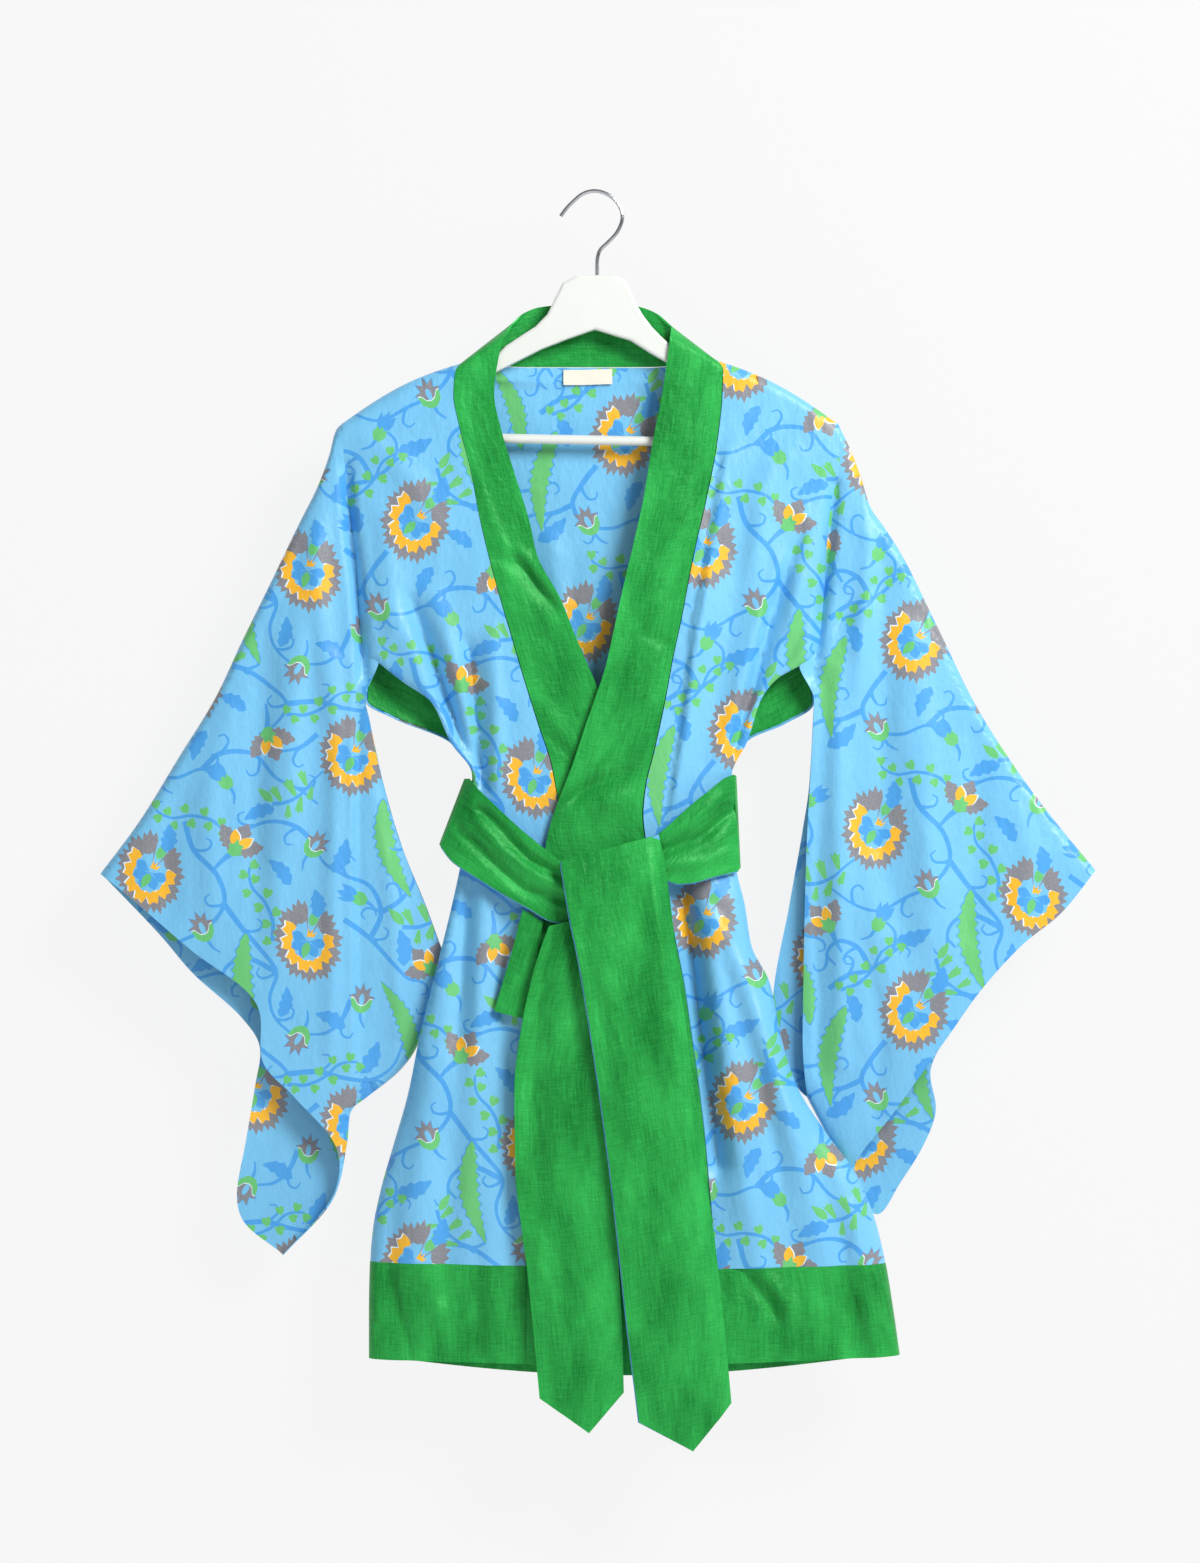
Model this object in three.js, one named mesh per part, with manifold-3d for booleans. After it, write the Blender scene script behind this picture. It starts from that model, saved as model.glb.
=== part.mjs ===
// A short silk wrap kimono with its sash, hanging on a wooden clothes hanger.
// Millimetres, +Z up, the front faces -Y and the wearer's left is +X. The origin is the inner top of the
// hook, where a rail carries it. Every cloth piece is a wall: a grid of points with their normals, moved
// out to both sides by half the cloth's thickness and closed round its edges.
import * as THREE from 'three';
import { mergeVertices } from 'three/addons/utils/BufferGeometryUtils.js';
import Module from 'manifold-3d';

const wasm = await Module();
wasm.setup();

// ---- driving dimensions ----
const CLOTH = 1.4; // wall of the printed silk with its turned edges
const BAND_CLOTH = 2.2; // the doubled collar band
const SASH_CLOTH = 1.8; // the lined sash
const LABEL_CLOTH = 1.0;
const SEAM_GAP = 0.3; // between two sewn pieces
const BAND_GAP = 0.4; // the collar band's share of the gap to the panels
const SLEEVE_GAP = 0.7; // between a sleeve and the rounded top of the shoulder
const SASH_FOLD_GAP = 1.2; // between the stretches of sash where it folds at the side
const FOLD_GAP = 0.4; // between front and back where they meet over a rolled edge
const SIDE_ROLL = 32; // width over which a closed side rounds from front to back
const SHOULDER_BOW = 7; // how far the shoulder line rises above a straight one
const SASH_TIP = { front: 0.584, rear: 0.587 }; // where along its width a tail's point lies

const HANGER_THICK = 12;
const HANGER_BEVEL = 2.5;
const BAR_DIAMETER = 8.8;
const BAR_FIT = 0.35; // clearance round the bar in its notches
const HOOK_WIRE = 3.8;

const COLOURS = {
  printSilk: { color: 0x76beec, roughness: 0.55, metalness: 0 },
  greenSilk: { color: 0x1e9b41, roughness: 0.5, metalness: 0 },
  paint: { color: 0xf4f5f0, roughness: 0.4, metalness: 0 },
  chrome: { color: 0xc8ccd0, roughness: 0.15, metalness: 1 },
  label: { color: 0xefe9d8, roughness: 0.8, metalness: 0 },
};

// ---- tables ----
// table('a b', [[1, 2], ...]) gives rows {a: 1, b: 2}.
function table(columns, rows) {
  const names = columns.split(' ');
  return rows.map((row) => Object.fromEntries(names.map((name, i) => [name, row[i]])));
}

// The two fronts, row by row from the shoulder ridge to the hem: the side edge, the collar seam and the
// collar band's free edge, each with its depth. midY is the depth halfway across the panel.
// Rows 0 to 8 lie along the armhole, 9 to 13 along the open underarm, 14 on are below the sash's top.
const FRONT_COLUMNS = 'sideX sideZ sideY midY seamX seamZ seamY freeX freeZ freeY';
const FRONT_RIGHT = table(FRONT_COLUMNS, [
  [-233, -212, 0, 0, -124, -157, 0, -78, -121, 3],
  [-233, -215.5, -5.5, -5.5, -127, -160.5, -5.5, -81, -127, -4.5],
  [-233, -223.5, -7.5, -8, -130, -166.5, -8, -86, -136, -8.5],
  [-231, -255, -8, -9, -131.5, -187, -9, -94, -184, -9],
  [-228, -287, -8, -10, -127, -212, -10, -87, -220, -10],
  [-222, -325, -8, -11, -116, -254, -11, -76, -256, -11],
  [-220, -365, -8, -12, -107, -301, -12, -62, -301, -12],
  [-217.5, -397, -8, -13, -99, -335, -13, -54, -335, -14],
  [-213, -420, -8, -13, -89, -372, -13, -34, -372, -15],
  [-200, -432, -8, -13, -79, -406, -13, -20, -406, -14],
  [-176, -451, -8, -13, -72, -430, -13, -10, -430, -13],
  [-152, -468, -8, -13, -65, -453, -13, 0, -453, -13],
  [-134, -505, -7, -13, -54, -488, -13, 11, -488, -12],
  [-114, -536, -5, -13, -41, -529, -12, 23, -526, -12],
  [-116, -572, -3, -13, -35, -572, -12, 26, -570, -12],
  [-124, -615, -2, -13, -42, -615, -12, 18, -615, -12],
  [-133, -657, -3, -16, -48, -657, -14, 8, -657, -13],
  [-143, -698, -4, -18, -55, -698, -17, 1, -698, -15],
  [-153, -738, -5, -20, -60, -738, -19, -4, -738, -17],
  [-162, -775, -5, -21, -64, -775, -20, -8, -775, -18],
  [-173, -829, -5, -22, -67.5, -829, -21, -11.5, -829, -19],
  [-187, -878, -5, -22, -67.5, -878, -22, -11.5, -878, -20],
  [-198, -917, -5, -22, -67.5, -917, -22, -11.5, -917, -20],
  [-205, -952, -5, -22, -67, -954, -22, -11, -954, -20],
  [-207.5, -982, -5, -22, -65, -985, -22, -10, -985, -20],
  [-208.5, -1028, -5, -21, -65, -1030, -21, -10, -1030, -20],
  [-208.5, -1071, -5, -20, -65, -1075, -20, -10, -1075.5, -20],
]);
const FRONT_LEFT = table(FRONT_COLUMNS, [
  [222, -213, 0, 0, 109, -154, 0, 68.5, -123, 3],
  [222.5, -216.5, -5.5, -5.5, 113, -157.5, -5.5, 68, -129, -4.5],
  [223.5, -224.5, -7.5, -8, 116.5, -164, -8, 67, -137, -8.5],
  [223, -256, -8, -9, 115.5, -190, -9, 61, -181, -9],
  [216, -282, -8, -10, 110, -236, -11, 51, -233, -12],
  [212, -315, -8, -11, 101, -282, -13, 43, -282, -15],
  [210.5, -356, -8, -12, 91.5, -324, -15, 33, -327, -17],
  [207.5, -393, -8, -13, 84, -361, -16, 24, -365, -18],
  [203, -420, -8, -14, 78, -393, -17, 16, -402, -19],
  [186, -435, -8, -14, 71, -425, -18, 8, -437, -20],
  [167, -446, -8, -14, 66, -452, -18, -2, -467, -20],
  [152, -464, -8, -14, 61, -478, -18, -11, -493, -20],
  [138, -505, -7, -14, 53, -514, -18, -22, -526, -20],
  [124, -536, -5, -14, 45.5, -545, -18, -33, -554, -20],
  [124, -572, -3, -14, 43, -572, -18, -40, -579, -19],
  [127, -615, -2, -14, 49, -613, -18, -27, -615, -19],
  [136, -655, -3, -18, 66, -655, -19, 10, -655, -18],
  [142, -692, -4, -21, 73.5, -692, -21, 17.5, -692, -19],
  [159, -727, -5, -22, 80.5, -727, -22, 24.5, -727, -20],
  [169, -775, -5, -24, 87.5, -775, -23, 31.5, -775, -21],
  [183.5, -820.5, -5, -24, 94, -820.5, -24, 37, -820.5, -22],
  [209, -862, -5, -24, 99, -863, -24, 42, -863, -22],
  [239, -903.5, -5, -24, 103, -907, -24, 45.5, -907, -22],
  [257, -949, -5, -24, 107, -954, -24, 49, -954, -22],
  [265, -983.5, -5, -24, 109, -988, -24, 51, -989, -22],
  [272, -1026, -5, -23, 111, -1032, -23, 53, -1033, -22],
  [278, -1068, -5, -22, 112, -1075, -22, 54, -1076, -22],
]);
const UNDERARM_ROW = 10; // the last row where the back still meets the sleeve
const CLOSED_FROM_ROW = 14; // from here down the side is closed
const HEM_ROW = 24; // the hem band's seam

// The back's own side edge, where it hangs lower than the front's between sleeve and sash.
const BACK_UNDERARM = table('row rightX rightZ leftX leftZ', [
  [9, -212.5, -441, 201.5, -444],
  [10, -212.5, -467, 200, -470],
  [11, -185, -484, 174, -488],
  [12, -134, -506, 138, -505],
]);
// The back's depth at its middle and how far it hangs below a straight line between its sides.
const BACK_DROP = table('row midY drop', [
  [0, 13, 0],
  [3, 14, 0],
  [8, 14, 0],
  [13, 13, 0],
  [15, 13, 0],
  [18, 16, 0],
  [HEM_ROW, 17, 6],
  [26, 18, 20],
]);

// The collar seam round the neck, from the right shoulder over the centre back to the left shoulder.
const NECK = table('seamX seamZ seamY freeX freeZ freeY', [
  [-124, -157, 0, -78, -121, 3],
  [-113, -157.3, 4.6, -73, -116, 6.5],
  [-93, -159, 9, -66, -109.5, 10],
  [-61, -160, 12, -52, -104, 13],
  [-34, -160, 13, -29, -102, 14],
  [-8, -160, 13, -8, -102, 14],
  [20, -160, 13, 14, -102, 14],
  [49, -160, 12, 35.5, -103, 13],
  [83, -158, 9, 54, -109.5, 10],
  [97, -156.5, 5.5, 61.5, -116, 7],
  [109, -154, 0, 68.5, -123, 3],
]);
// Where the neck seam is less than this deep, the band starts above it by a share of its width.
const NECK_TURN = { depth: 6, clear: 0.03 };
const NECK_CENTRE = 5; // its centre back row

// Sleeve outlines, each laid along x and z. top: the fold along the arm. body: the free edge on the body
// side below the underarm. under: the bottom fold. cuff: the opening's edge. The back layer hangs lower.
const SLEEVE_RIGHT = {
  top: table('x z', [[-239, -218], [-246, -243], [-257, -272], [-273, -304], [-299.5, -359], [-325, -411],
    [-351, -466], [-383, -518], [-420, -578], [-456, -626.5]]),
  body: table('x z', [[-209, -485], [-198, -537], [-180, -600], [-158, -655], [-143.5, -694], [-141, -699]]),
  under: table('x z', [[-140, -701], [-153, -747], [-167, -788], [-183, -809], [-213, -833], [-226, -844],
    [-230.5, -876], [-243, -926], [-289, -978]]),
  cuff: table('x z', [[-456, -626.5], [-438, -640], [-374, -695], [-312, -746], [-306, -800], [-278, -831],
    [-239, -879], [-240, -917], [-264, -952], [-289, -978]]),
  cuffBack: table('x z', [[-456, -626.5], [-402, -683], [-372, -718], [-327, -759], [-310.5, -785],
    [-315, -824], [-323, -871], [-332, -927], [-325, -949], [-289, -978]]),
};
const SLEEVE_LEFT = {
  top: table('x z', [[234, -238], [243, -262], [252, -290], [264.5, -308], [281, -334], [315, -403],
    [350, -474], [390.5, -537], [427, -585], [458.5, -623]]),
  body: table('x z', [[196, -544], [193, -604], [191, -696], [190, -781], [193.5, -825], [194.5, -830.5]]),
  bodyBack: table('x z', [[196, -544], [190, -586], [178, -655], [163, -746], [178, -810], [190, -829]]),
  under: table('x z', [[194.5, -832.5], [210, -862], [231, -900], [247, -936]]),
  cuff: table('x z', [[458.5, -623], [427, -662], [390.5, -692], [354, -732], [324, -774], [273, -847],
    [237.5, -897], [240, -917], [247, -936]]),
  cuffBack: table('x z', [[458.5, -623], [427, -662], [390.5, -692], [354, -732], [324, -774], [308, -807],
    [313, -845.5], [302, -877], [280, -913.5], [261, -941], [247, -936]]),
};
const SLEEVE_STATIONS = [0, 0.07, 0.16, 0.27, 0.38, 0.5, 0.62, 0.73, 0.83, 0.91, 0.965, 1];
const SLEEVE_HALF_DEPTH = 8;
const SLEEVE_FOLD_HALF = [5.5, 3.5]; // the last two points before the bottom fold
const SLEEVE_SET_BACK = { right: 13, left: 18 }; // the lower part hangs behind the skirt's edge

// Folds: a crease line from one point to another, its width and how far it moves the cloth to the front
// (negative is a trough).
const FOLD_COLUMNS = 'x1 z1 x2 z2 width depth';
const FRONT_FOLDS = table(FOLD_COLUMNS, [
  [-166, -385, -118, -532, 11, -4],
  [-112, -420, -106, -540, 10, -3.5],
  [183, -338, 122, -530, 10, -4],
  [108, -220, 70, -540, 9, 3],
  [76, -625, 118, -1000, 14, -5],
  [-117, -625, -130, -790, 13, -4],
  [-95, -700, -125, -980, 16, 3.5],
  [120, -760, 190, -980, 18, 4],
]);
const BACK_FOLDS = table(FOLD_COLUMNS, [
  [-150, -300, -90, -535, 14, 4],
  [140, -290, 88, -535, 14, 4],
  [0, -330, 4, -535, 16, -3],
  [-70, -630, -120, -1000, 18, 5],
  [70, -630, 130, -1000, 18, 5],
  [2, -640, 4, -1040, 20, -4],
]);
const SLEEVE_FOLDS = table(FOLD_COLUMNS, [
  [-223, -410, -226, -835, 10, -5],
  [-282, -390, -306, -780, 16, 4],
  [200, -420, 200, -800, 10, -4],
  [270, -400, 320, -690, 16, 4],
  [250, -560, 300, -760, 16, -3.5],
]);

// The sash, stretch by stretch: its upper edge and its lower edge. A tail's are its two long edges.
const STRIP_COLUMNS = 'x1 z1 y1 x2 z2 y2';
const SASH_WAIST = table(STRIP_COLUMNS, [
  [-117, -539, -11, -143, -601, -11],
  [-121, -539, -4, -146, -604, -4],
  [-120, -540, 8, -140, -613.5, 6],
  [-107, -541, 17, -124, -620, 16],
  [-70, -542, 21, -78, -624, 21],
  [3, -543, 22, 1.5, -625.5, 22],
  [77, -542, 21, 82, -625.5, 21],
  [115.5, -539, 17, 119, -624.5, 16],
  [129, -537, 8, 133, -624, 6],
  [131.5, -536, -4, 136, -623, -4],
  [128.5, -535.5, -11, 134, -623, -11],
]);
const SASH_BAND_RIGHT = table(STRIP_COLUMNS, [
  [-117, -538.5, -11, -143, -600.5, -11],
  [-111, -545.5, -20, -133, -613.5, -20],
  [-93, -563, -27, -111, -628.5, -26],
  [-72, -582.5, -31, -86, -644, -29],
  [-52, -599, -33, -61, -658, -31],
  [-37, -611, -34, -41, -669, -32],
  [-24, -619, -33, -23, -671, -32],
]);
const SASH_BAND_LEFT = table(STRIP_COLUMNS, [
  [128.5, -535, -11, 134, -623, -11],
  [118, -539, -20, 122, -625.5, -20],
  [106, -547.5, -26, 106, -629, -25],
  [90.5, -559.5, -30, 88, -634, -29],
  [75, -573, -32, 75, -635, -31],
  [63, -584, -33, 65, -632, -32],
  [55, -590.5, -32, 56, -630, -32],
]);
const SASH_TAIL_FRONT = table(STRIP_COLUMNS, [
  [-32, -618, -38, 57.5, -596, -38],
  [-32.5, -613.5, -41.5, 56.5, -590.5, -41.5],
  [-31, -624.5, -46, 61, -610, -46],
  [-24.5, -664, -50, 68.5, -664, -50],
  [-16, -705.5, -51, 73, -705.5, -51],
  [-6, -765.5, -49, 81.5, -765.5, -49],
  [3, -826, -47, 89.5, -826, -47],
  [12.5, -897, -46, 98, -890, -46],
  [20.5, -967, -45, 108, -963, -45],
  [27, -1028, -44, 115.5, -1028, -44],
  [39, -1126, -42, 123, -1109.5, -42],
]);
const SASH_TAIL_REAR = table(STRIP_COLUMNS, [
  [-43.5, -673.5, -37, -4, -663.5, -38],
  [-52, -696.5, -38, 1.5, -692, -39],
  [-61, -728.5, -38, 6, -728.5, -39],
  [-68.5, -765.5, -38, 8.5, -765.5, -38],
  [-75, -823.5, -37, 11.5, -823.5, -38],
  [-74, -898, -36, 14.5, -898, -37],
  [-68.5, -949.5, -36, 18, -949.5, -36],
  [-63, -991, -35, 20.5, -991, -36],
  [-57.5, -1046, -35, 23.5, -1046, -35],
  [-52, -1105, -34, 25, -1099.5, -34],
]);
const SASH_FOLD = table(STRIP_COLUMNS, [
  [-67.5, -658.5, -27, -49, -670, -27],
  [-77.5, -697.5, -28, -55.5, -707.5, -28],
  [-86, -726, -28, -62, -733, -28],
  [-93.5, -751.5, -28, -67.5, -758, -28],
]);
const TAIL_DROP = { front: 36, rear: 35 }; // how far the cut point hangs below the tail's corners
const KNOT = { x: 15, y: -31, z: -628, width: 68, depth: 11, height: 46 };

const LAID_GAP = 0.8; // between the back and what lies on its inside
// The green strip inside the back's open side: its width runs up from the edge and leans inward.
const FACING = {
  width: 40, inset: 1.5, lean: 0.42, firstLean: 0.06, rise: 0.9, rows: [10, 10.5, 11, 11.5, 12],
  shares: [0, 0.2, 0.4, 0.6, 0.8, 1],
};
const LABEL = { x: -8, width: 45, top: -161.5, bottom: -175.5 };

// The hanger's outline and the hook's wire, along x and z.
const HANGER_OUTLINE = {
  topRight: table('x z', [[-18, -76], [-27, -77.5], [-31, -83], [-40, -101], [-49, -117], [-87, -143.5],
    [-108, -166], [-130, -174], [-163, -187], [-200, -203], [-224, -216]]),
  tipRight: table('x z', [[-228, -225], [-223, -236], [-206, -233]]),
  lowRight: table('x z', [[-190, -215.5], [-144, -189.5], [-91.5, -165], [-47, -142.5], [-1.5, -126]]),
  lowLeft: table('x z', [[31, -136], [66, -157.5], [132, -189], [187, -224], [201, -238]]),
  tipLeft: table('x z', [[214, -242], [219, -231], [212, -220]]),
  topLeft: table('x z', [[165, -197], [116, -175], [92, -162], [69.5, -141], [54, -127], [38.5, -106],
    [29, -84.5], [25, -77.5], [16, -76]]),
};
const BAR_ENDS = { x1: -205, z1: -223.5, x2: 206, z2: -231.5 };
const HOOK_LINE = table('x z', [[-33, -21.5], [-27.5, -14], [-21.5, -8], [-13, -1], [-2.5, 1.9], [8.5, -0.5],
  [18, -7.5], [23, -16.5], [23.5, -25], [19, -36], [10.5, -45.5], [3, -53], [0.7, -61.5], [0.5, -69],
  [0.5, -75.6]]);

// ---- small helpers ----
const mix = (a, b, t) => a + (b - a) * t;
const clamp01 = (t) => Math.min(1, Math.max(0, t));
const smooth = (t) => clamp01(t) ** 2 * (3 - 2 * clamp01(t));
const round = (t) => Math.sqrt(1 - (1 - clamp01(t)) ** 2); // a quarter circle from 0 to 1
const vec = (x, y, z) => new THREE.Vector3(x, y, z);

// Reads a sparse table column at any row by straight lines between its rows.
function columnAt(rows, key, row) {
  const next = Math.max(1, rows.findIndex((r) => r.row >= row));
  const [a, b] = [rows[next - 1], rows[next]];
  return mix(a[key], b[key], clamp01((row - a.row) / (b.row - a.row)));
}

// A smooth curve through points of x and z, read by the share of its length.
function outline(points) {
  const curve = new THREE.CatmullRomCurve3(points.map((p) => vec(p.x, 0, p.z)), false, 'centripetal');
  curve.arcLengthDivisions = 400;
  return (t) => curve.getPointAt(clamp01(t));
}

// How far the folds move the cloth at x, z.
function foldDepth(folds, x, z) {
  let depth = 0;
  for (const f of folds) {
    const [dx, dz] = [f.x2 - f.x1, f.z2 - f.z1];
    const t = clamp01(((x - f.x1) * dx + (z - f.z1) * dz) / (dx * dx + dz * dz));
    const away = Math.hypot(x - f.x1 - dx * t, z - f.z1 - dz * t);
    depth += f.depth * Math.exp(-((away / f.width) ** 2)) * Math.sin(Math.PI * mix(0.12, 0.88, t));
  }
  return depth;
}

// ---- walls ----
// Adds a normal to every point of a grid. closed: the columns run round a ring.
function surface(grid, closed = false) {
  const [rows, columns] = [grid.length, grid[0].length];
  const at = (i, j) => grid[Math.min(rows - 1, Math.max(0, i))][
    closed ? (j + columns) % columns : Math.min(columns - 1, Math.max(0, j))];
  return grid.map((row, i) => row.map((point, j) => {
    const down = at(i + 1, j).clone().sub(at(i - 1, j));
    const across = at(i, j + 1).clone().sub(at(i, j - 1));
    return { point, normal: down.cross(across).normalize() };
  }));
}

const part = (sheet, row1, row2, column1, column2) =>
  sheet.slice(row1, row2 + 1).map((row) => row.slice(column1, column2 + 1));

// Draws the named edges of a sheet in by half a seam gap, and keeps its normals.
function trimmed(sheet, { top = 0, bottom = 0, left = 0, right = 0 }) {
  const pull = (node, inner, by) => {
    const way = inner.point.clone().sub(node.point).normalize();
    return { point: node.point.clone().addScaledVector(way, by), normal: node.normal };
  };
  const [lastRow, lastColumn] = [sheet.length - 1, sheet[0].length - 1];
  return sheet.map((row, i) => row.map((node, j) => {
    let moved = node;
    if (i === 0 && top) moved = pull(moved, sheet[1][j], top);
    if (i === lastRow && bottom) moved = pull(moved, sheet[lastRow - 1][j], bottom);
    if (j === 0 && left) moved = pull(moved, row[1], left);
    if (j === lastColumn && right) moved = pull(moved, row[lastColumn - 1], right);
    return moved;
  }));
}

// Turns a sheet, or a ring of columns, into a closed solid of the cloth's thickness.
function wall(name, colour, sheet, thickness, closed = false) {
  const [rows, columns] = [sheet.length, sheet[0].length];
  const positions = [];
  for (const side of [0.5, -0.5]) {
    for (const row of sheet) {
      for (const { point, normal } of row) {
        positions.push(...point.clone().addScaledVector(normal, side * thickness).toArray());
      }
    }
  }
  const index = [];
  const at = (layer, i, j) => layer * rows * columns + i * columns + (j % columns);
  const quad = (a, b, c, d) => index.push(a, b, c, a, c, d);
  const cells = closed ? columns : columns - 1;
  for (let i = 0; i < rows - 1; i += 1) {
    for (let j = 0; j < cells; j += 1) {
      quad(at(0, i, j), at(0, i + 1, j), at(0, i + 1, j + 1), at(0, i, j + 1));
      quad(at(1, i, j), at(1, i, j + 1), at(1, i + 1, j + 1), at(1, i + 1, j));
    }
    if (!closed) {
      quad(at(0, i, 0), at(1, i, 0), at(1, i + 1, 0), at(0, i + 1, 0));
      quad(at(0, i, cells), at(0, i + 1, cells), at(1, i + 1, cells), at(1, i, cells));
    }
  }
  for (let j = 0; j < cells; j += 1) {
    quad(at(0, 0, j), at(0, 0, j + 1), at(1, 0, j + 1), at(1, 0, j));
    quad(at(0, rows - 1, j), at(1, rows - 1, j), at(1, rows - 1, j + 1), at(0, rows - 1, j + 1));
  }
  const geometry = new THREE.BufferGeometry();
  geometry.setAttribute('position', new THREE.Float32BufferAttribute(positions, 3));
  geometry.setIndex(signedVolume(positions, index) < 0 ? index.reverse() : index);
  return named(name, geometry, colour);
}

function signedVolume(positions, index) {
  const corner = (k) => vec(...positions.slice(3 * index[k], 3 * index[k] + 3));
  let sum = 0;
  for (let k = 0; k < index.length; k += 3) {
    sum += corner(k).dot(corner(k + 1).cross(corner(k + 2)));
  }
  return sum;
}

function named(name, geometry, colour) {
  geometry.computeVertexNormals();
  const mesh = new THREE.Mesh(geometry, new THREE.MeshStandardMaterial(COLOURS[colour]));
  mesh.name = name;
  return mesh;
}

// ---- fronts and back ----
const FRONT_SHARES = [0, 0.035, 0.11, 0.2, 0.31, 0.42, 0.53, 0.64, 0.76, 0.88, 1]; // side to collar seam
const SHOULDER_SHARES = [0, 0.04, 0.14, 0.34, 0.56, 0.78, 1];
const BAND_SHARES = [1 / 3, 2 / 3, 1];
const bowAt = (row) => SHOULDER_BOW * (1 - smooth((row - 2) / 5));

// The depth across a panel: rolled at a closed side, then from the middle's depth to the seam's.
function panelDepth(row, share, width) {
  const body = mix(row.midY, row.seamY, smooth(share));
  return mix(row.sideY, body, round((share * width) / SIDE_ROLL));
}

// One front with its collar band: columns from the side edge to the seam and on to the free edge.
function frontSheet(rows, outward) {
  const grid = rows.map((r, i) => {
    const width = Math.abs(r.seamX - r.sideX);
    const panel = FRONT_SHARES.map((share) => {
      const x = mix(r.sideX, r.seamX, share);
      const z = mix(r.sideZ, r.seamZ, share) + bowAt(i) * Math.sin(Math.PI * share);
      const gap = i >= CLOSED_FROM_ROW || i === 0 ? -FOLD_GAP / 2 : 0;
      const inside = Math.min(smooth(share / 0.15), smooth(i / 4));
      return vec(x, panelDepth(r, share, width) + gap - inside * foldDepth(FRONT_FOLDS, x, z), z);
    });
    const seam = panel.at(-1);
    const free = vec(r.freeX, r.freeY, r.freeZ);
    return [...panel, ...BAND_SHARES.map((share) => seam.clone().lerp(free, share))];
  });
  const sheet = surface(grid);
  for (let i = CLOSED_FROM_ROW + 1; i < rows.length; i += 1) sheet[i][0].normal = vec(0, 0, 0).setX(outward);
  for (let j = 0; j < FRONT_SHARES.length; j += 1) sheet[0][j].normal = vec(0, 0, 1);
  return fixSides(sheet);
}

// Keeps set normals on the same side of the sheet as their neighbours'.
function fixSides(sheet) {
  return sheet.map((row, i) => row.map((node, j) => {
    const next = sheet[Math.min(i + 1, sheet.length - 1)][Math.min(j + 1, row.length - 1)];
    const turned = node.normal.dot(next.normal) < 0;
    const set = j === 0 || i === 0;
    return set && turned ? { point: node.point, normal: node.normal.clone().negate() } : node;
  }));
}

function frontPieces(suffix, rows, outward, back) {
  const sheet = frontSheet(rows, outward);
  const seam = FRONT_SHARES.length - 1;
  const last = rows.length - 1;
  const half = SEAM_GAP / 2;
  return [
    wall(`front_panel_${suffix}`, 'printSilk',
      trimmed(part(sheet, 0, HEM_ROW, 0, seam), { bottom: half, right: half }), CLOTH),
    wall(`hem_band_front_${suffix}`, 'greenSilk',
      trimmed(part(sheet, HEM_ROW, last, 0, seam), { top: half, right: half }), CLOTH),
    wall(`collar_band_${suffix}`, 'greenSilk', bandSheet(sheet, back, suffix), BAND_CLOTH),
  ];
}

// The collar band: from the centre back over the shoulder, then down the front's edge.
const neckColumn = (row) => SHOULDER_SHARES.length - 1 + NECK.indexOf(row);

function bandSheet(front, back, suffix) {
  const seam = FRONT_SHARES.length - 1;
  const neck = suffix === 'right'
    ? NECK.slice(1, NECK_CENTRE + 1).reverse()
    : NECK.slice(NECK_CENTRE, -1);
  const neckGrid = neck.map((r) => {
    const [from, to] = [vec(r.seamX, r.seamY, r.seamZ), vec(r.freeX, r.freeY, r.freeZ)];
    const clear = r.seamY < NECK_TURN.depth ? NECK_TURN.clear : 0;
    return [clear, ...BAND_SHARES].map((share) => from.clone().lerp(to, share));
  });
  const frontGrid = front.map((row) => row.slice(seam).map((node) => node.point));
  const sheet = surface([...neckGrid, ...frontGrid]);
  // Its seam edge turns as the panels do that it is sewn to, so the walls end face to face.
  const joined = sheet.map((row, i) => {
    const k = i - neckGrid.length;
    const sewn = k < 0 ? back[0][neckColumn(neck[i])] : front[k][seam];
    const turned = sewn.normal.dot(row[0].normal) < 0;
    const normal = turned ? sewn.normal.clone().negate() : sewn.normal;
    return [{ point: row[0].point, normal }, ...row.slice(1)];
  });
  return trimmed(joined, { top: SEAM_GAP / 2, left: BAND_GAP });
}

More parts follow.
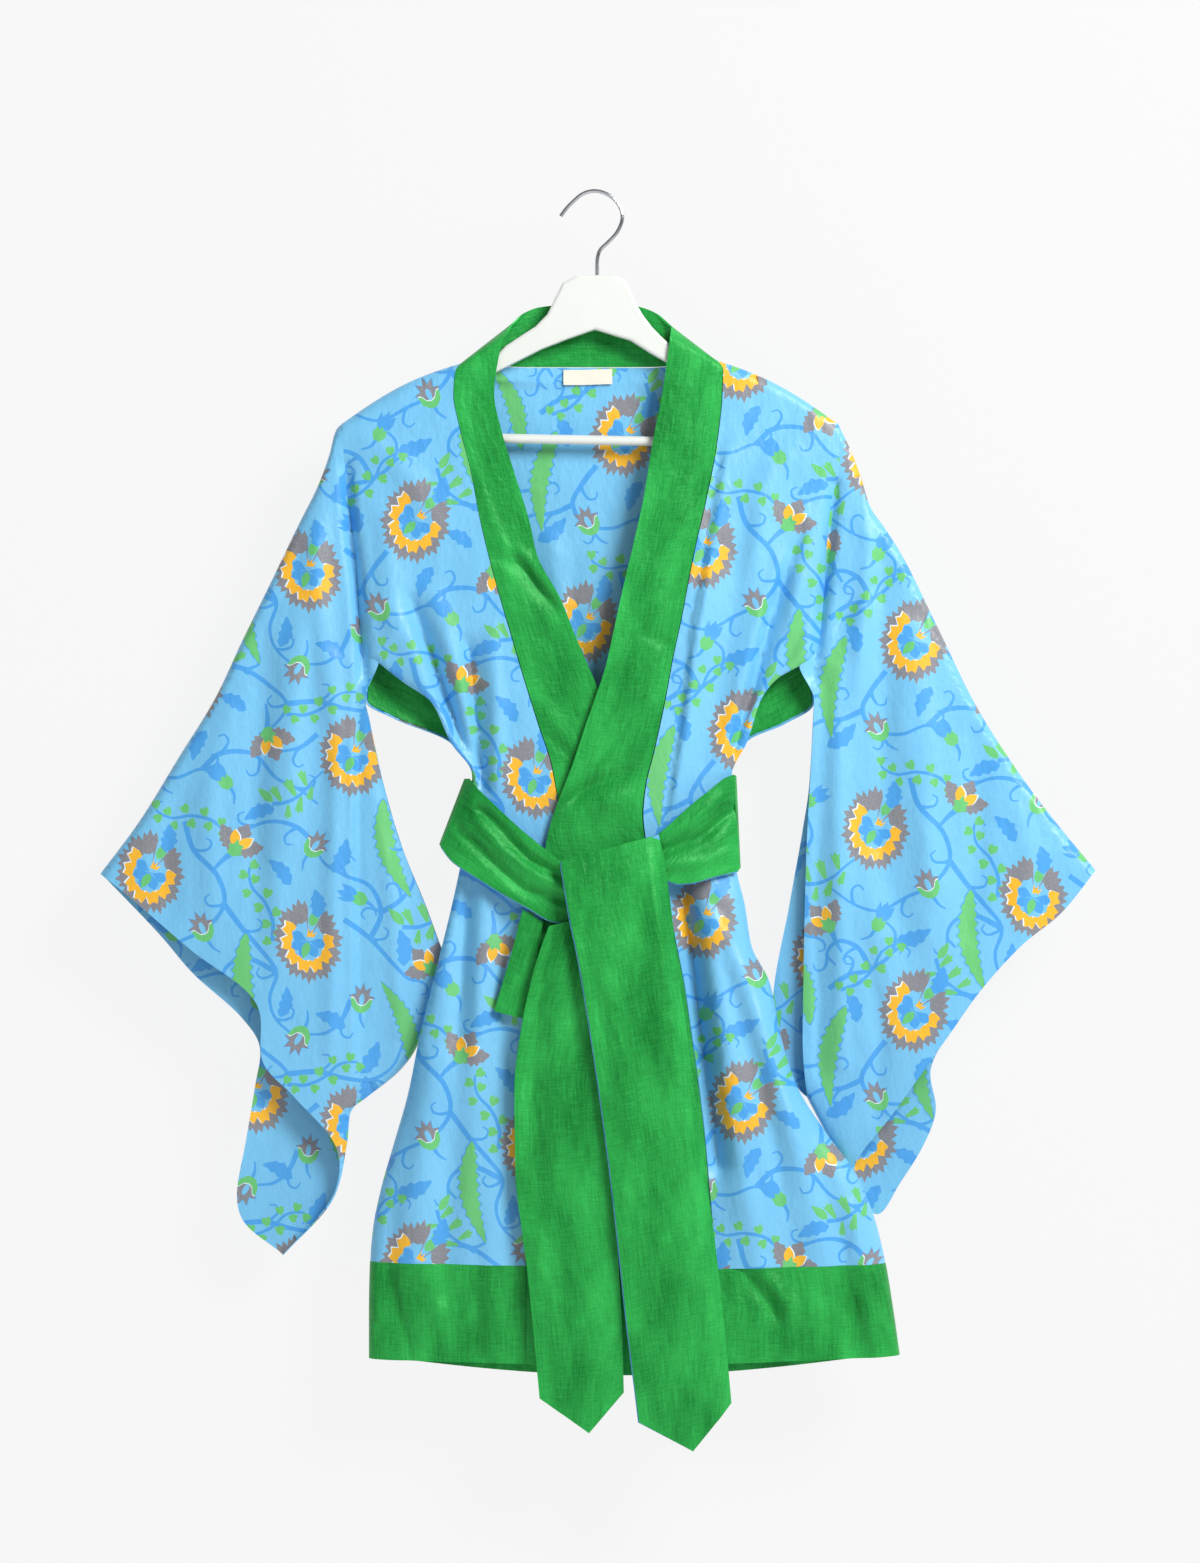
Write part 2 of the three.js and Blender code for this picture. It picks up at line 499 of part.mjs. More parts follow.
function backSheet() {
  const [right, left] = [FRONT_RIGHT, FRONT_LEFT];
  const own = Object.fromEntries(BACK_UNDERARM.map((r) => [r.row, r]));
  const edges = right.map((r, i) => ({
    rightX: own[i]?.rightX ?? r.sideX,
    rightZ: own[i]?.rightZ ?? r.sideZ,
    leftX: own[i]?.leftX ?? left[i].sideX,
    leftZ: own[i]?.leftZ ?? left[i].sideZ,
    sideY: i < CLOSED_FROM_ROW ? -r.sideY : r.sideY,
  }));
  const ridge = (rows, share) => vec(mix(rows[0].sideX, rows[0].seamX, share), 0,
    mix(rows[0].sideZ, rows[0].seamZ, share) + SHOULDER_BOW * Math.sin(Math.PI * share));
  const top = [
    ...SHOULDER_SHARES.map((share) => ridge(right, share)),
    ...NECK.slice(1, -1).map((r) => vec(r.seamX, r.seamY, r.seamZ)),
    ...SHOULDER_SHARES.map((share) => ridge(left, share)).reverse(),
  ];
  const [x1, x2] = [top[0].x, top.at(-1).x];
  const grid = edges.map((e, i) => {
    const midY = columnAt(BACK_DROP, 'midY', i);
    const drop = columnAt(BACK_DROP, 'drop', i);
    const lift = 1 - smooth((i - 2) / 9);
    return top.map((t) => {
      const share = (t.x - x1) / (x2 - x1);
      const x = mix(e.rightX, e.leftX, share);
      const straight = mix(top[0].z, top.at(-1).z, share);
      const z = mix(e.rightZ, e.leftZ, share) + (t.z - straight) * lift - drop * Math.sin(Math.PI * share);
      const fromSide = Math.min(share, 1 - share) * (e.leftX - e.rightX);
      const fromRidge = [0, 5.5, 8][i] ?? midY;
      const gap = i >= CLOSED_FROM_ROW || i === 0 ? FOLD_GAP / 2 : 0;
      const rolled = mix(e.sideY, midY, round(fromSide / SIDE_ROLL));
      const inside = smooth(fromSide / 30) * smooth(i / 5);
      const y = Math.max(t.y, Math.min(rolled, fromRidge)) + gap;
      return vec(x, y + inside * foldDepth(BACK_FOLDS, x, z), z);
    });
  });
  const sheet = surface(grid);
  const last = top.length - 1;
  for (let i = CLOSED_FROM_ROW + 1; i < grid.length; i += 1) {
    sheet[i][0].normal = vec(-1, 0, 0);
    sheet[i][last].normal = vec(1, 0, 0);
  }
  const shoulder = SHOULDER_SHARES.length;
  for (let j = 0; j <= last; j += 1) {
    if (j < shoulder || j > last - shoulder) sheet[0][j].normal = vec(0, 0, 1);
  }
  // The normals that were set point outwards, so the rest have to as well.
  const outward = sheet[5][3].normal.y > 0 ? 1 : -1;
  return sheet.map((row, i) => row.map((node, j) => {
    const onRidge = i === 0 && (j < shoulder || j > last - shoulder);
    const set = (i > CLOSED_FROM_ROW && (j === 0 || j === last)) || onRidge;
    return set ? node : { point: node.point, normal: node.normal.clone().multiplyScalar(outward) };
  }));
}

function backPieces(sheet) {
  const lastColumn = sheet[0].length - 1;
  const half = SEAM_GAP / 2;
  return [
    wall('back_panel', 'printSilk',
      trimmed(part(sheet, 0, HEM_ROW, 0, lastColumn), { top: half, bottom: half }), CLOTH),
    wall('hem_band_back', 'greenSilk',
      trimmed(part(sheet, HEM_ROW, sheet.length - 1, 0, lastColumn), { top: half }), CLOTH),
  ];
}

// ---- sleeves ----
// A four-sided patch between its edge curves: body (the start), cuff (the end), top and under.
function patch(body, cuff, top, under) {
  return (share, station) => {
    const p = body(share).clone().multiplyScalar(1 - station);
    p.addScaledVector(cuff(share), station);
    p.addScaledVector(top(station), 1 - share);
    p.addScaledVector(under(station), share);
    p.addScaledVector(body(0), -(1 - share) * (1 - station));
    p.addScaledVector(cuff(0), -(1 - share) * station);
    p.addScaledVector(body(1), -share * (1 - station));
    p.addScaledVector(cuff(1), -share * station);
    return p;
  };
}

// The ring of points on the body side: down the armhole with the body's own rows, then the free edge.
function sleeveRing(rows, shape, outward, backLayer) {
  const own = Object.fromEntries(BACK_UNDERARM.map((r) => [r.row, r]));
  const side = outward < 0 ? 'right' : 'left';
  const ring = rows.slice(0, UNDERARM_ROW + 1).map((r, i) => ({
    x: (own[i] ? own[i][`${side}X`] : r.sideX) + outward * SLEEVE_GAP,
    z: own[i] ? own[i][`${side}Z`] : r.sideZ,
    half: Math.abs(i < 9 ? r.sideY : SLEEVE_HALF_DEPTH),
  }));
  const free = backLayer ? shape.bodyBack ?? shape.body : shape.body;
  free.forEach((p, i) => {
    const half = SLEEVE_FOLD_HALF[i - free.length + 2] ?? SLEEVE_HALF_DEPTH;
    ring.push({ ...p, half });
  });
  ring.push({ ...shape.under[0], half: 0 });
  let length = 0;
  ring.forEach((p, i) => {
    if (i) length += Math.hypot(p.x - ring[i - 1].x, p.z - ring[i - 1].z);
    p.along = length;
  });
  return ring.map((p) => ({ ...p, share: p.along / length }));
}

// Reads a ring at a share of its length, by straight lines, so that it follows the armhole's rows.
function alongRing(ring) {
  return (share) => {
    const k = Math.max(1, ring.findIndex((p) => p.share >= share - 1e-9));
    const [a, b] = [ring[k - 1], ring[k]];
    const t = (share - a.share) / (b.share - a.share);
    return vec(mix(a.x, b.x, t), 0, mix(a.z, b.z, t));
  };
}

function sleeve(name, rows, shape, outward) {
  const tip = { x: rows[0].sideX + outward * SLEEVE_GAP, z: rows[0].sideZ };
  const top = outline([tip, ...shape.top]);
  const under = outline(shape.under);
  const layers = [false, true].map((back) => {
    const ring = sleeveRing(rows, shape, outward, back);
    const cuff = outline(back ? shape.cuffBack : shape.cuff);
    return { ring, at: patch(alongRing(ring), cuff, top, under), sign: back ? 1 : -1 };
  });
  const point = (layer, node, station) => {
    const p = layer.at(node.share, station);
    const centre = SLEEVE_SET_BACK[outward < 0 ? 'right' : 'left'] * smooth((node.share - 0.5) / 0.45);
    const half = node.half + foldDepth(SLEEVE_FOLDS, p.x, p.z)
      * smooth(node.half / SLEEVE_HALF_DEPTH) * smooth(station / 0.1) * (layer.sign < 0 ? 1 : 0.6);
    return p.setY(centre + layer.sign * half);
  };
  const [front, back] = layers;
  const grid = SLEEVE_STATIONS.map((station) => [
    ...front.ring.map((node) => point(front, node, station)),
    ...back.ring.slice(1, -1).reverse().map((node) => point(back, node, station)),
  ]);
  return wall(name, 'printSilk', surface(grid, true), CLOTH, true);
}

// ---- what lies on the back ----
// The depth of a sheet at x, z, read on the same triangles that its wall has.
function depthAt(sheet, x, z) {
  for (let i = 0; i < sheet.length - 1; i += 1) {
    for (let j = 0; j < sheet[i].length - 1; j += 1) {
      const [a, b, c, d] = [sheet[i][j], sheet[i + 1][j], sheet[i + 1][j + 1], sheet[i][j + 1]]
        .map((node) => node.point);
      for (const [p, q, r] of [[a, b, c], [a, c, d]]) {
        const area = (q.x - p.x) * (r.z - p.z) - (r.x - p.x) * (q.z - p.z);
        const u = ((x - p.x) * (r.z - p.z) - (r.x - p.x) * (z - p.z)) / area;
        const v = ((q.x - p.x) * (z - p.z) - (x - p.x) * (q.z - p.z)) / area;
        if (u >= 0 && v >= 0 && u + v <= 1) return p.y + u * (q.y - p.y) + v * (r.y - p.y);
      }
    }
  }
  throw new Error(`no cloth at ${x}, ${z}`);
}

// A piece that lies on the inside of the back: the back's points, moved to the front.
function laidOnBack(back, points, cloth) {
  const lift = CLOTH / 2 + cloth / 2 + LAID_GAP;
  return surface(points.map((row) => row.map(([x, z]) => vec(x, depthAt(back, x, z) - lift, z))));
}

// The strip inside the back's open side, from the sleeve to the sash.
function facing(name, back, fromLeft) {
  const points = FACING.rows.map((row) => {
    const near = Math.min(Math.floor(row), FACING.rows.at(-1) - 1);
    const edge = [near, near + 1].map((i) => back[i].at(fromLeft ? -1 : 0).point);
    const [x, z] = [mix(edge[0].x, edge[1].x, row - near), mix(edge[0].z, edge[1].z, row - near)];
    const lean = row === UNDERARM_ROW ? FACING.firstLean : FACING.lean;
    return FACING.shares.map((share) => {
      const across = FACING.inset + share * FACING.width;
      return [x + (fromLeft ? -1 : 1) * (FACING.inset + lean * across), z + FACING.rise * across];
    });
  });
  return wall(name, 'greenSilk', laidOnBack(back, points, CLOTH), CLOTH);
}

function neckLabel(back) {
  const points = [LABEL.top, LABEL.bottom].map((z) =>
    [-0.5, -0.25, 0, 0.25, 0.5].map((share) => [LABEL.x + share * LABEL.width, z]));
  return wall('neck_label', 'label', laidOnBack(back, points, LABEL_CLOTH), LABEL_CLOTH);
}

// ---- sash ----
const STRIP_SHARES = [0, 0.2, 0.4, 0.6, 0.8, 1];

// A strip of the sash between its two edges, with soft folds along it that fade at its edges.
function strip(name, rows, folds, shares = STRIP_SHARES, tip = null) {
  const grid = rows.map((r, i) => shares.map((share) => {
    const along = i / (rows.length - 1);
    const y = mix(r.y1, r.y2, share) - folds * Math.sin(Math.PI * share * 4) * Math.sin(Math.PI * share)
      * smooth(along / 0.25);
    const lower = tip && i === rows.length - 1
      ? tip.drop * (share < tip.share ? share / tip.share : (1 - share) / (1 - tip.share)) : 0;
    return vec(mix(r.x1, r.x2, share), y, mix(r.z1, r.z2, share) - lower);
  }));
  return wall(name, 'greenSilk', surface(grid), SASH_CLOTH);
}

function sashPieces() {
  const half = SASH_FOLD_GAP / 2;
  const shifted = (rows, by) => rows.map((r, i) => (i === 0 || i === rows.length - 1
    ? { ...r, y1: r.y1 + by, y2: r.y2 + by } : r));
  const tailShares = (at) => [0, at * 0.34, at * 0.67, at, mix(at, 1, 0.5), 1];
  const knot = new THREE.SphereGeometry(0.5, 16, 10);
  knot.scale(KNOT.width, KNOT.depth, KNOT.height);
  const body = new THREE.BufferGeometry();
  body.setAttribute('position', knot.attributes.position);
  body.setIndex(knot.index);
  const knotMesh = named('sash_knot', mergeVertices(body, 1e-4), 'greenSilk');
  knotMesh.position.set(KNOT.x, KNOT.y, KNOT.z);
  const first = ([start, ...rest], by) => [{ ...start, y1: start.y1 + by, y2: start.y2 + by }, ...rest];
  return [
    strip('sash_waist', shifted(SASH_WAIST, half), 0),
    strip('sash_band_right', first(SASH_BAND_RIGHT, -half), 1.6),
    strip('sash_band_left', first(SASH_BAND_LEFT, -half), 1.6),
    knotMesh,
    strip('sash_tail_front', SASH_TAIL_FRONT, 0.8, tailShares(SASH_TIP.front),
      { drop: TAIL_DROP.front, share: SASH_TIP.front }),
    strip('sash_tail_rear', SASH_TAIL_REAR, 0.8, tailShares(SASH_TIP.rear),
      { drop: TAIL_DROP.rear, share: SASH_TIP.rear }),
    strip('sash_fold', SASH_FOLD, 0.6),
  ];
}

// ---- hanger ----
// A closed mesh as a solid that can be cut, and back again.
function solidOf(geometry) {
  const bare = geometry.clone();
  bare.deleteAttribute('normal');
  bare.deleteAttribute('uv');
  const merged = mergeVertices(bare, 1e-4);
  return new wasm.Manifold(new wasm.Mesh({
    numProp: 3,
    vertProperties: new Float32Array(merged.attributes.position.array),
    triVerts: new Uint32Array(merged.index.array),
  }));
}

function geometryOf(solid) {
  const mesh = solid.getMesh();
  const geometry = new THREE.BufferGeometry();
  geometry.setAttribute('position', new THREE.Float32BufferAttribute(mesh.vertProperties, 3));
  geometry.setIndex(Array.from(mesh.triVerts));
  return geometry;
}

// A round bar between two points in the plane of the hanger.
function barGeometry(ends, diameter, longer = 0) {
  const [dx, dz] = [ends.x2 - ends.x1, ends.z2 - ends.z1];
  const bar = new THREE.CylinderGeometry(diameter / 2, diameter / 2, Math.hypot(dx, dz) + longer, 16);
  bar.rotateZ(Math.PI / 2);
  bar.rotateY(-Math.atan2(dz, dx));
  bar.translate((ends.x1 + ends.x2) / 2, 0, (ends.z1 + ends.z2) / 2);
  return bar;
}

function hangerPieces() {
  const o = HANGER_OUTLINE;
  const sample = (points, steps) => {
    const curve = outline(points);
    return Array.from({ length: steps + 1 }, (_, i) => curve(i / steps));
  };
  const line = [
    ...sample(o.topRight, 16), ...sample(o.tipRight, 4), ...sample(o.lowRight, 8),
    ...sample(o.lowLeft, 8), ...sample(o.tipLeft, 4), ...sample(o.topLeft, 16),
  ];
  const shape = new THREE.Shape(line.map((p) => new THREE.Vector2(p.x, p.z)));
  const body = new THREE.ExtrudeGeometry(shape, {
    depth: HANGER_THICK - 2 * HANGER_BEVEL, bevelThickness: HANGER_BEVEL, bevelSize: HANGER_BEVEL,
    bevelOffset: -HANGER_BEVEL, bevelSegments: 2, curveSegments: 1,
  });
  body.translate(0, 0, -(HANGER_THICK / 2 - HANGER_BEVEL));
  body.rotateX(Math.PI / 2);
  const notch = solidOf(barGeometry(BAR_ENDS, BAR_DIAMETER + 2 * BAR_FIT, 2 * BAR_FIT));
  const cut = geometryOf(solidOf(body).subtract(notch));

  const wire = new THREE.CatmullRomCurve3(HOOK_LINE.map((p) => vec(p.x, 0, p.z)), false, 'centripetal');
  const section = new THREE.Shape();
  section.absarc(0, 0, HOOK_WIRE / 2, 0, 2 * Math.PI);
  const hook = new THREE.ExtrudeGeometry(section, { steps: 40, extrudePath: wire, curveSegments: 4 });
  return [
    named('hanger_body', cut, 'paint'),
    named('hanger_bar', barGeometry(BAR_ENDS, BAR_DIAMETER), 'paint'),
    named('hanger_hook', hook, 'chrome'),
  ];
}

// ---- assembly ----
const back = backSheet();
const kimono = new THREE.Group();
kimono.add(
  ...hangerPieces(),
  ...backPieces(back),
  ...frontPieces('right', FRONT_RIGHT, -1, back),
  ...frontPieces('left', FRONT_LEFT, 1, back),
  sleeve('sleeve_right', FRONT_RIGHT, SLEEVE_RIGHT, -1),
  sleeve('sleeve_left', FRONT_LEFT, SLEEVE_LEFT, 1),
  facing('underarm_facing_right', back, false),
  facing('underarm_facing_left', back, true),
  ...sashPieces(),
  neckLabel(back),
);

export default kimono;
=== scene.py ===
"""A short silk wrap kimono with its sash on a wooden clothes hanger: how every piece looks.

Sizes are in millimetres, as a pattern cutter writes them, and a mesh is made in metres. +Z is up, the front
faces -Y and the wearer's left is +X. The hook hangs from the origin.
"""

from __future__ import annotations

import logging
import math
from dataclasses import dataclass, field
from enum import Enum, IntEnum
from typing import Any, Callable, Sequence

import bpy
import numpy as np
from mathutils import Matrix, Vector
from mathutils.bvhtree import BVHTree
from mathutils.geometry import delaunay_2d_cdt
from mathutils.kdtree import KDTree


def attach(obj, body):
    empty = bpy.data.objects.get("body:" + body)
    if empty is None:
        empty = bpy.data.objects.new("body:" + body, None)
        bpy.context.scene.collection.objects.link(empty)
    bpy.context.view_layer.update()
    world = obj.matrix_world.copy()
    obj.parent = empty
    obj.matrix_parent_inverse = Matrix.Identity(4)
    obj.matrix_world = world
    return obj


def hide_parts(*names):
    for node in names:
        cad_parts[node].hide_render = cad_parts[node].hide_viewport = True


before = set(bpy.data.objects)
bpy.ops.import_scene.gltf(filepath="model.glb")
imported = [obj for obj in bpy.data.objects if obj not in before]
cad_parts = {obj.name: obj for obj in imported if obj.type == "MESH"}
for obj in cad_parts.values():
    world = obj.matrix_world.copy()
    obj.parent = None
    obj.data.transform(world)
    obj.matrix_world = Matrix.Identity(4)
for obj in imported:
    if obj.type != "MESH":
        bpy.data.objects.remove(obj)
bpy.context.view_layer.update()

Array = np.ndarray
MM = 0.001
log = logging.getLogger("kimono")


# ---------- cloth sums
def smooth(t: Array) -> Array:
    """Returns an ease from 0 to 1, level at both ends."""
    t = np.clip(t, 0.0, 1.0)
    return t * t * (3 - 2 * t)


def quarter(t: Array) -> Array:
    """Returns a quarter circle from 0 up to 1."""
    return np.sqrt(1 - (1 - np.clip(t, 0.0, 1.0)) ** 2)


def mix(a: Array, b: Array, t: Array) -> Array:
    """Returns the value between a and b at share t."""
    return a + (b - a) * t


def between(rows: Array, at: Array) -> Array:
    """Reads a table between its rows, smoothly and with no overshoot.

    Args:
        rows: one row for each whole number from 0, with its columns.
        at: the places to read.

    Returns:
        One row for each place.
    """
    rows = np.asarray(rows, float)
    steps = np.diff(rows, axis=0)
    slopes = np.zeros_like(rows)
    alike = steps[:-1] * steps[1:] > 0
    total = np.where(alike, steps[:-1] + steps[1:], 1.0)
    slopes[1:-1] = np.where(alike, 2 * steps[:-1] * steps[1:] / total, 0.0)
    slopes[0], slopes[-1] = steps[0], steps[-1]
    i = np.clip(np.floor(at).astype(int), 0, len(rows) - 2)
    t = (np.asarray(at) - i)[:, None]
    return (
        (2 * t**3 - 3 * t**2 + 1) * rows[i]
        + (t**3 - 2 * t**2 + t) * slopes[i]
        + (3 * t**2 - 2 * t**3) * rows[i + 1]
        + (t**3 - t**2) * slopes[i + 1]
    )


def unit(vectors: Array) -> Array:
    """Returns the vectors at length 1."""
    return vectors / (np.linalg.norm(vectors, axis=-1, keepdims=True) + 1e-12)


def run_of(points: Array) -> Array:
    """Returns how far along their line each of the points lies."""
    return np.concatenate([[0], np.cumsum(np.linalg.norm(np.diff(points, axis=0), axis=1))])


def lengthened(knots: Array) -> Array:
    """Returns the points with one more at each end, as far on again."""
    return np.concatenate([2 * knots[:1] - knots[1:2], knots, 2 * knots[-1:] - knots[-2:-1]])


def quads_of(rows: int, columns: int) -> Array:
    """Returns the four corners of each cell of a grid of points, numbered row by row."""
    index = np.arange(rows * columns).reshape(rows, columns)
    return np.stack([index[:-1, :-1], index[1:, :-1], index[1:, 1:], index[:-1, 1:]], -1).reshape(-1, 4)


def finder(spots: Array) -> KDTree:
    """Returns a search tree of flat places."""
    tree = KDTree(len(spots))
    for i, (x, z) in enumerate(spots.tolist()):
        tree.insert((x, z, 0.0), i)
    tree.balance()
    return tree


class Curve:
    """A smooth line through points of x and z, read by the share of its length.

    Args:
        points: what it goes through.
    """

    def __init__(self, points: Sequence[Sequence[float]]) -> None:
        """Works out the line in small steps."""
        knots = np.array(points, float)
        padded = lengthened(knots)
        track = [self._span(*four) for four in zip(padded, padded[1:], padded[2:], padded[3:])]
        self.track = np.concatenate([*track, knots[-1:]])
        lengths = np.linalg.norm(np.diff(self.track, axis=0), axis=1)
        self.share = np.concatenate([[0], np.cumsum(lengths)]) / lengths.sum()

    @staticmethod
    def _span(p0: Array, p1: Array, p2: Array, p3: Array) -> Array:
        """Returns steps from p1 to p2, paced by the roots of the distances."""
        gaps = [max(float(np.linalg.norm(b - a)) ** 0.5, 1e-4) for a, b in ((p0, p1), (p1, p2), (p2, p3))]
        t0, t1 = 0.0, gaps[0]
        t2, t3 = t1 + gaps[1], t1 + gaps[1] + gaps[2]
        t = np.linspace(t1, t2, 16, endpoint=False)[:, None]
        a1 = (t1 - t) / (t1 - t0) * p0 + (t - t0) / (t1 - t0) * p1
        a2 = (t2 - t) / (t2 - t1) * p1 + (t - t1) / (t2 - t1) * p2
        a3 = (t3 - t) / (t3 - t2) * p2 + (t - t2) / (t3 - t2) * p3
        b1 = (t2 - t) / (t2 - t0) * a1 + (t - t0) / (t2 - t0) * a2
        b2 = (t3 - t) / (t3 - t1) * a2 + (t - t1) / (t3 - t1) * a3
        return (t2 - t) / (t2 - t1) * b1 + (t - t1) / (t2 - t1) * b2

    def at(self, share: Array) -> Array:
        """Returns the points at these shares of the length."""
        return np.stack([np.interp(share, self.share, self.track[:, k]) for k in range(2)], -1)


class Form(Enum):
    """How a crease changes the cloth across its line."""

    SOFT = "rounded ridge or trough"
    SHARP = "pinched ridge or trough"
    STEP = "one side lies over the other"


@dataclass(frozen=True)
class Crease:
    """A crease along a line.

    Args:
        line: points of x and z that it follows.
        width: how wide it is.
        depth: how far it moves the cloth to the front, negative for a trough.
        form: its shape across.
        ends: how much of its depth it keeps at each end.
    """

    line: tuple[tuple[float, float], ...]
    width: float
    depth: float
    form: Form = Form.SOFT
    ends: float = 0.35

    def at(self, x: Array, z: Array) -> Array:
        """Returns how far the crease moves the cloth at each place."""
        points = np.array(self.line, float)
        spans = np.diff(points, axis=0)
        lengths = np.linalg.norm(spans, axis=1)
        best = np.full(x.shape, 1e9)
        side = np.zeros(x.shape)
        along = np.zeros(x.shape)
        run = 0.0
        for start, span, length in zip(points, spans, lengths):
            t = np.clip(((x - start[0]) * span[0] + (z - start[1]) * span[1]) / length**2, 0, 1)
            dx, dz = x - start[0] - span[0] * t, z - start[1] - span[1] * t
            away = np.hypot(dx, dz)
            nearer = away < best
            best = np.where(nearer, away, best)
            side = np.where(nearer, (span[0] * dz - span[1] * dx) / length, side)
            along = np.where(nearer, (run + t * length) / lengths.sum(), along)
            run += length
        fade = np.sin(np.pi * mix(self.ends / 2, 1 - self.ends / 2, along))
        if self.form is Form.SOFT:
            across = np.exp(-((best / self.width) ** 2))
        elif self.form is Form.SHARP:
            across = np.exp(-(np.hypot(best, 2.5) - 2.5) / self.width)
        else:
            across = np.tanh(side / (self.width * 0.3)) * np.exp(-best / self.width)
        return self.depth * across * fade


def creased(creases: Sequence[Crease], x: Array, z: Array) -> Array:
    """Returns how far all creases together move the cloth."""
    total = np.zeros(np.broadcast(x, z).shape)
    for crease in creases:
        total = total + crease.at(x, z)
    return total


def fold(x1: float, z1: float, x2: float, z2: float, width: float, depth: float) -> Crease:
    """Returns one of the garment's large soft folds, from one point to another."""
    return Crease(((x1, z1), (x2, z2)), width, depth, ends=0.24)


# ---------- printed motifs
class Ink(Enum):
    """The inks of the print, each a colour as it looks on the cloth."""

    GROUND = (116, 192, 234)
    VINE = (72, 160, 228)
    LEAF = (102, 194, 116)
    GREY = (128, 128, 134)
    ORANGE = (245, 184, 44)
    BARE = (226, 240, 248)
    DEEP = (88, 172, 232)


@dataclass(frozen=True)
class Shape:
    """One flat patch of ink.

    Args:
        ink: its colour.
        outline: its corners in order, in millimetres.
    """

    ink: Ink
    outline: Array

    def placed(self, x: float, z: float, turn: float, size: float = 1.0) -> Shape:
        """Returns the patch turned by some degrees, sized and moved to a place."""
        angle = math.radians(turn)
        c, s = math.cos(angle) * size, math.sin(angle) * size
        flat = self.outline @ np.array([[c, s], [-s, c]])
        return Shape(self.ink, flat + np.array([x, z]))

    def grown(self, ink: Ink, size: float) -> Shape:
        """Returns a larger copy in another ink, to lie under this one as its outline."""
        middle = self.outline.mean(0)
        return Shape(ink, middle + (self.outline - middle) * size)

    def shifted(self, ink: Ink, x: float, z: float) -> Shape:
        """Returns a copy in another ink, a little out of register."""
        return Shape(ink, self.outline + np.array([x, z]))


def ring_line(radii: Sequence[float], start: float, sweep: float, rx: float, ry: float) -> Array:
    """Points round an ellipse, at even steps, each at its share of the radius.

    Args:
        radii: the share of the radius at each point.
        start: the first point's direction in degrees.
        sweep: how far the line goes round, in degrees.
        rx: radius across.
        ry: radius up.

    Returns:
        One point for each share.
    """
    angles = np.radians(start + sweep * np.linspace(0, 1, len(radii)))
    share = np.asarray(radii)
    return np.stack([rx * share * np.cos(angles), ry * share * np.sin(angles)], 1)


def toothed(petals: int, teeth: int, tip: float, notch: float, gap: float) -> list[float]:
    """Radii of a row of petals with teeth on their ends.

    Args:
        petals: how many petals.
        teeth: teeth on each petal.
        tip: radius of the middle tooth.
        notch: radius between teeth.
        gap: radius between petals.

    Returns:
        The radii, gap to gap.
    """
    radii = [gap]
    for _ in range(petals):
        for tooth in range(teeth):
            middle = 1 - abs((tooth + 0.5) / teeth * 2 - 1)
            radii += [tip - 0.10 * (1 - middle), notch - 0.02 * (1 - middle)]
        radii[-1] = gap
    return radii


def drop_line(length: float, width: float, points: int = 7, belly: float = 0.4) -> Array:
    """A pointed petal or leaf from the origin up to its tip.

    Args:
        length: from root to tip.
        width: at the belly.
        points: points on each side.
        belly: where it is widest, as a share of its length.

    Returns:
        Its outline.
    """
    t = np.linspace(0, 1, points)
    half = width / 2 * np.sin(np.pi * t ** (math.log(0.5) / math.log(belly)))
    right = np.stack([half, t * length], 1)
    left = np.stack([-half, t * length], 1)[::-1]
    return np.concatenate([right[:-1], left[:-1]])


def saw_leaf(length: float, width: float, teeth: int, bend: float, ink: Ink) -> Shape:
    """A long leaf with saw teeth that point to its tip, and a slight bend.

    Args:
        length: from stalk to tip.
        width: at its widest.
        teeth: on each side.
        bend: how far its middle bows sideways.
        ink: its colour.

    Returns:
        The leaf, with its middle at the origin and its tip up.
    """
    side = []
    for tooth in range(teeth):
        low, high = (tooth + 0.2) / teeth, (tooth + 0.72) / teeth
        half = [width / 2 * math.sin(math.pi * t**0.8) ** 0.8 for t in (low, high)]
        side += [(half[0] * 0.68 + 0.6, low), (half[1] * 1.12, high)]
    right = np.array(side)
    centre = bend * np.sin(np.pi * right[:, 1]) - bend / 2
    rise = (right[:, 1] - 0.5) * length
    tip = np.array([[-bend / 2, length / 2]])
    stalk = np.array([[-bend / 2, -length / 2]])
    outer = np.stack([centre + right[:, 0], rise], 1)
    inner = np.stack([centre - right[:, 0], rise], 1)[::-1]
    return Shape(ink, np.concatenate([stalk, outer, tip, inner]))


def stroke(line: Sequence[tuple[float, float]], width: float, ink: Ink, taper: bool = False) -> Shape:
    """A line of even width along a smooth path.

    Args:
        line: points that the path goes through.
        width: of the line.
        ink: its colour.
        taper: whether it thins towards its far end.

    Returns:
        The stroke's outline.
    """
    knots = np.array(line, float)
    padded = lengthened(knots)
    steps = np.linspace(0, 1, 6, endpoint=False)[:, None]
    path = []
    for p0, p1, p2, p3 in zip(padded, padded[1:], padded[2:], padded[3:]):
        a, b, c = 2 * p1, p2 - p0, 2 * p0 - 5 * p1 + 4 * p2 - p3
        d = 3 * p1 - p0 - 3 * p2 + p3
        path.append((a + b * steps + c * steps**2 + d * steps**3) / 2)
    track = np.concatenate([*path, knots[-1:]])
    way = np.gradient(track, axis=0)
    way /= np.linalg.norm(way, axis=1, keepdims=True) + 1e-9
    across = np.stack([-way[:, 1], way[:, 0]], 1)
    half = np.full((len(track), 1), width / 2)
    if taper:
        half[:, 0] *= np.linspace(1, 0.4, len(track))
    return Shape(ink, np.concatenate([track + across * half, (track - across * half)[::-1]]))


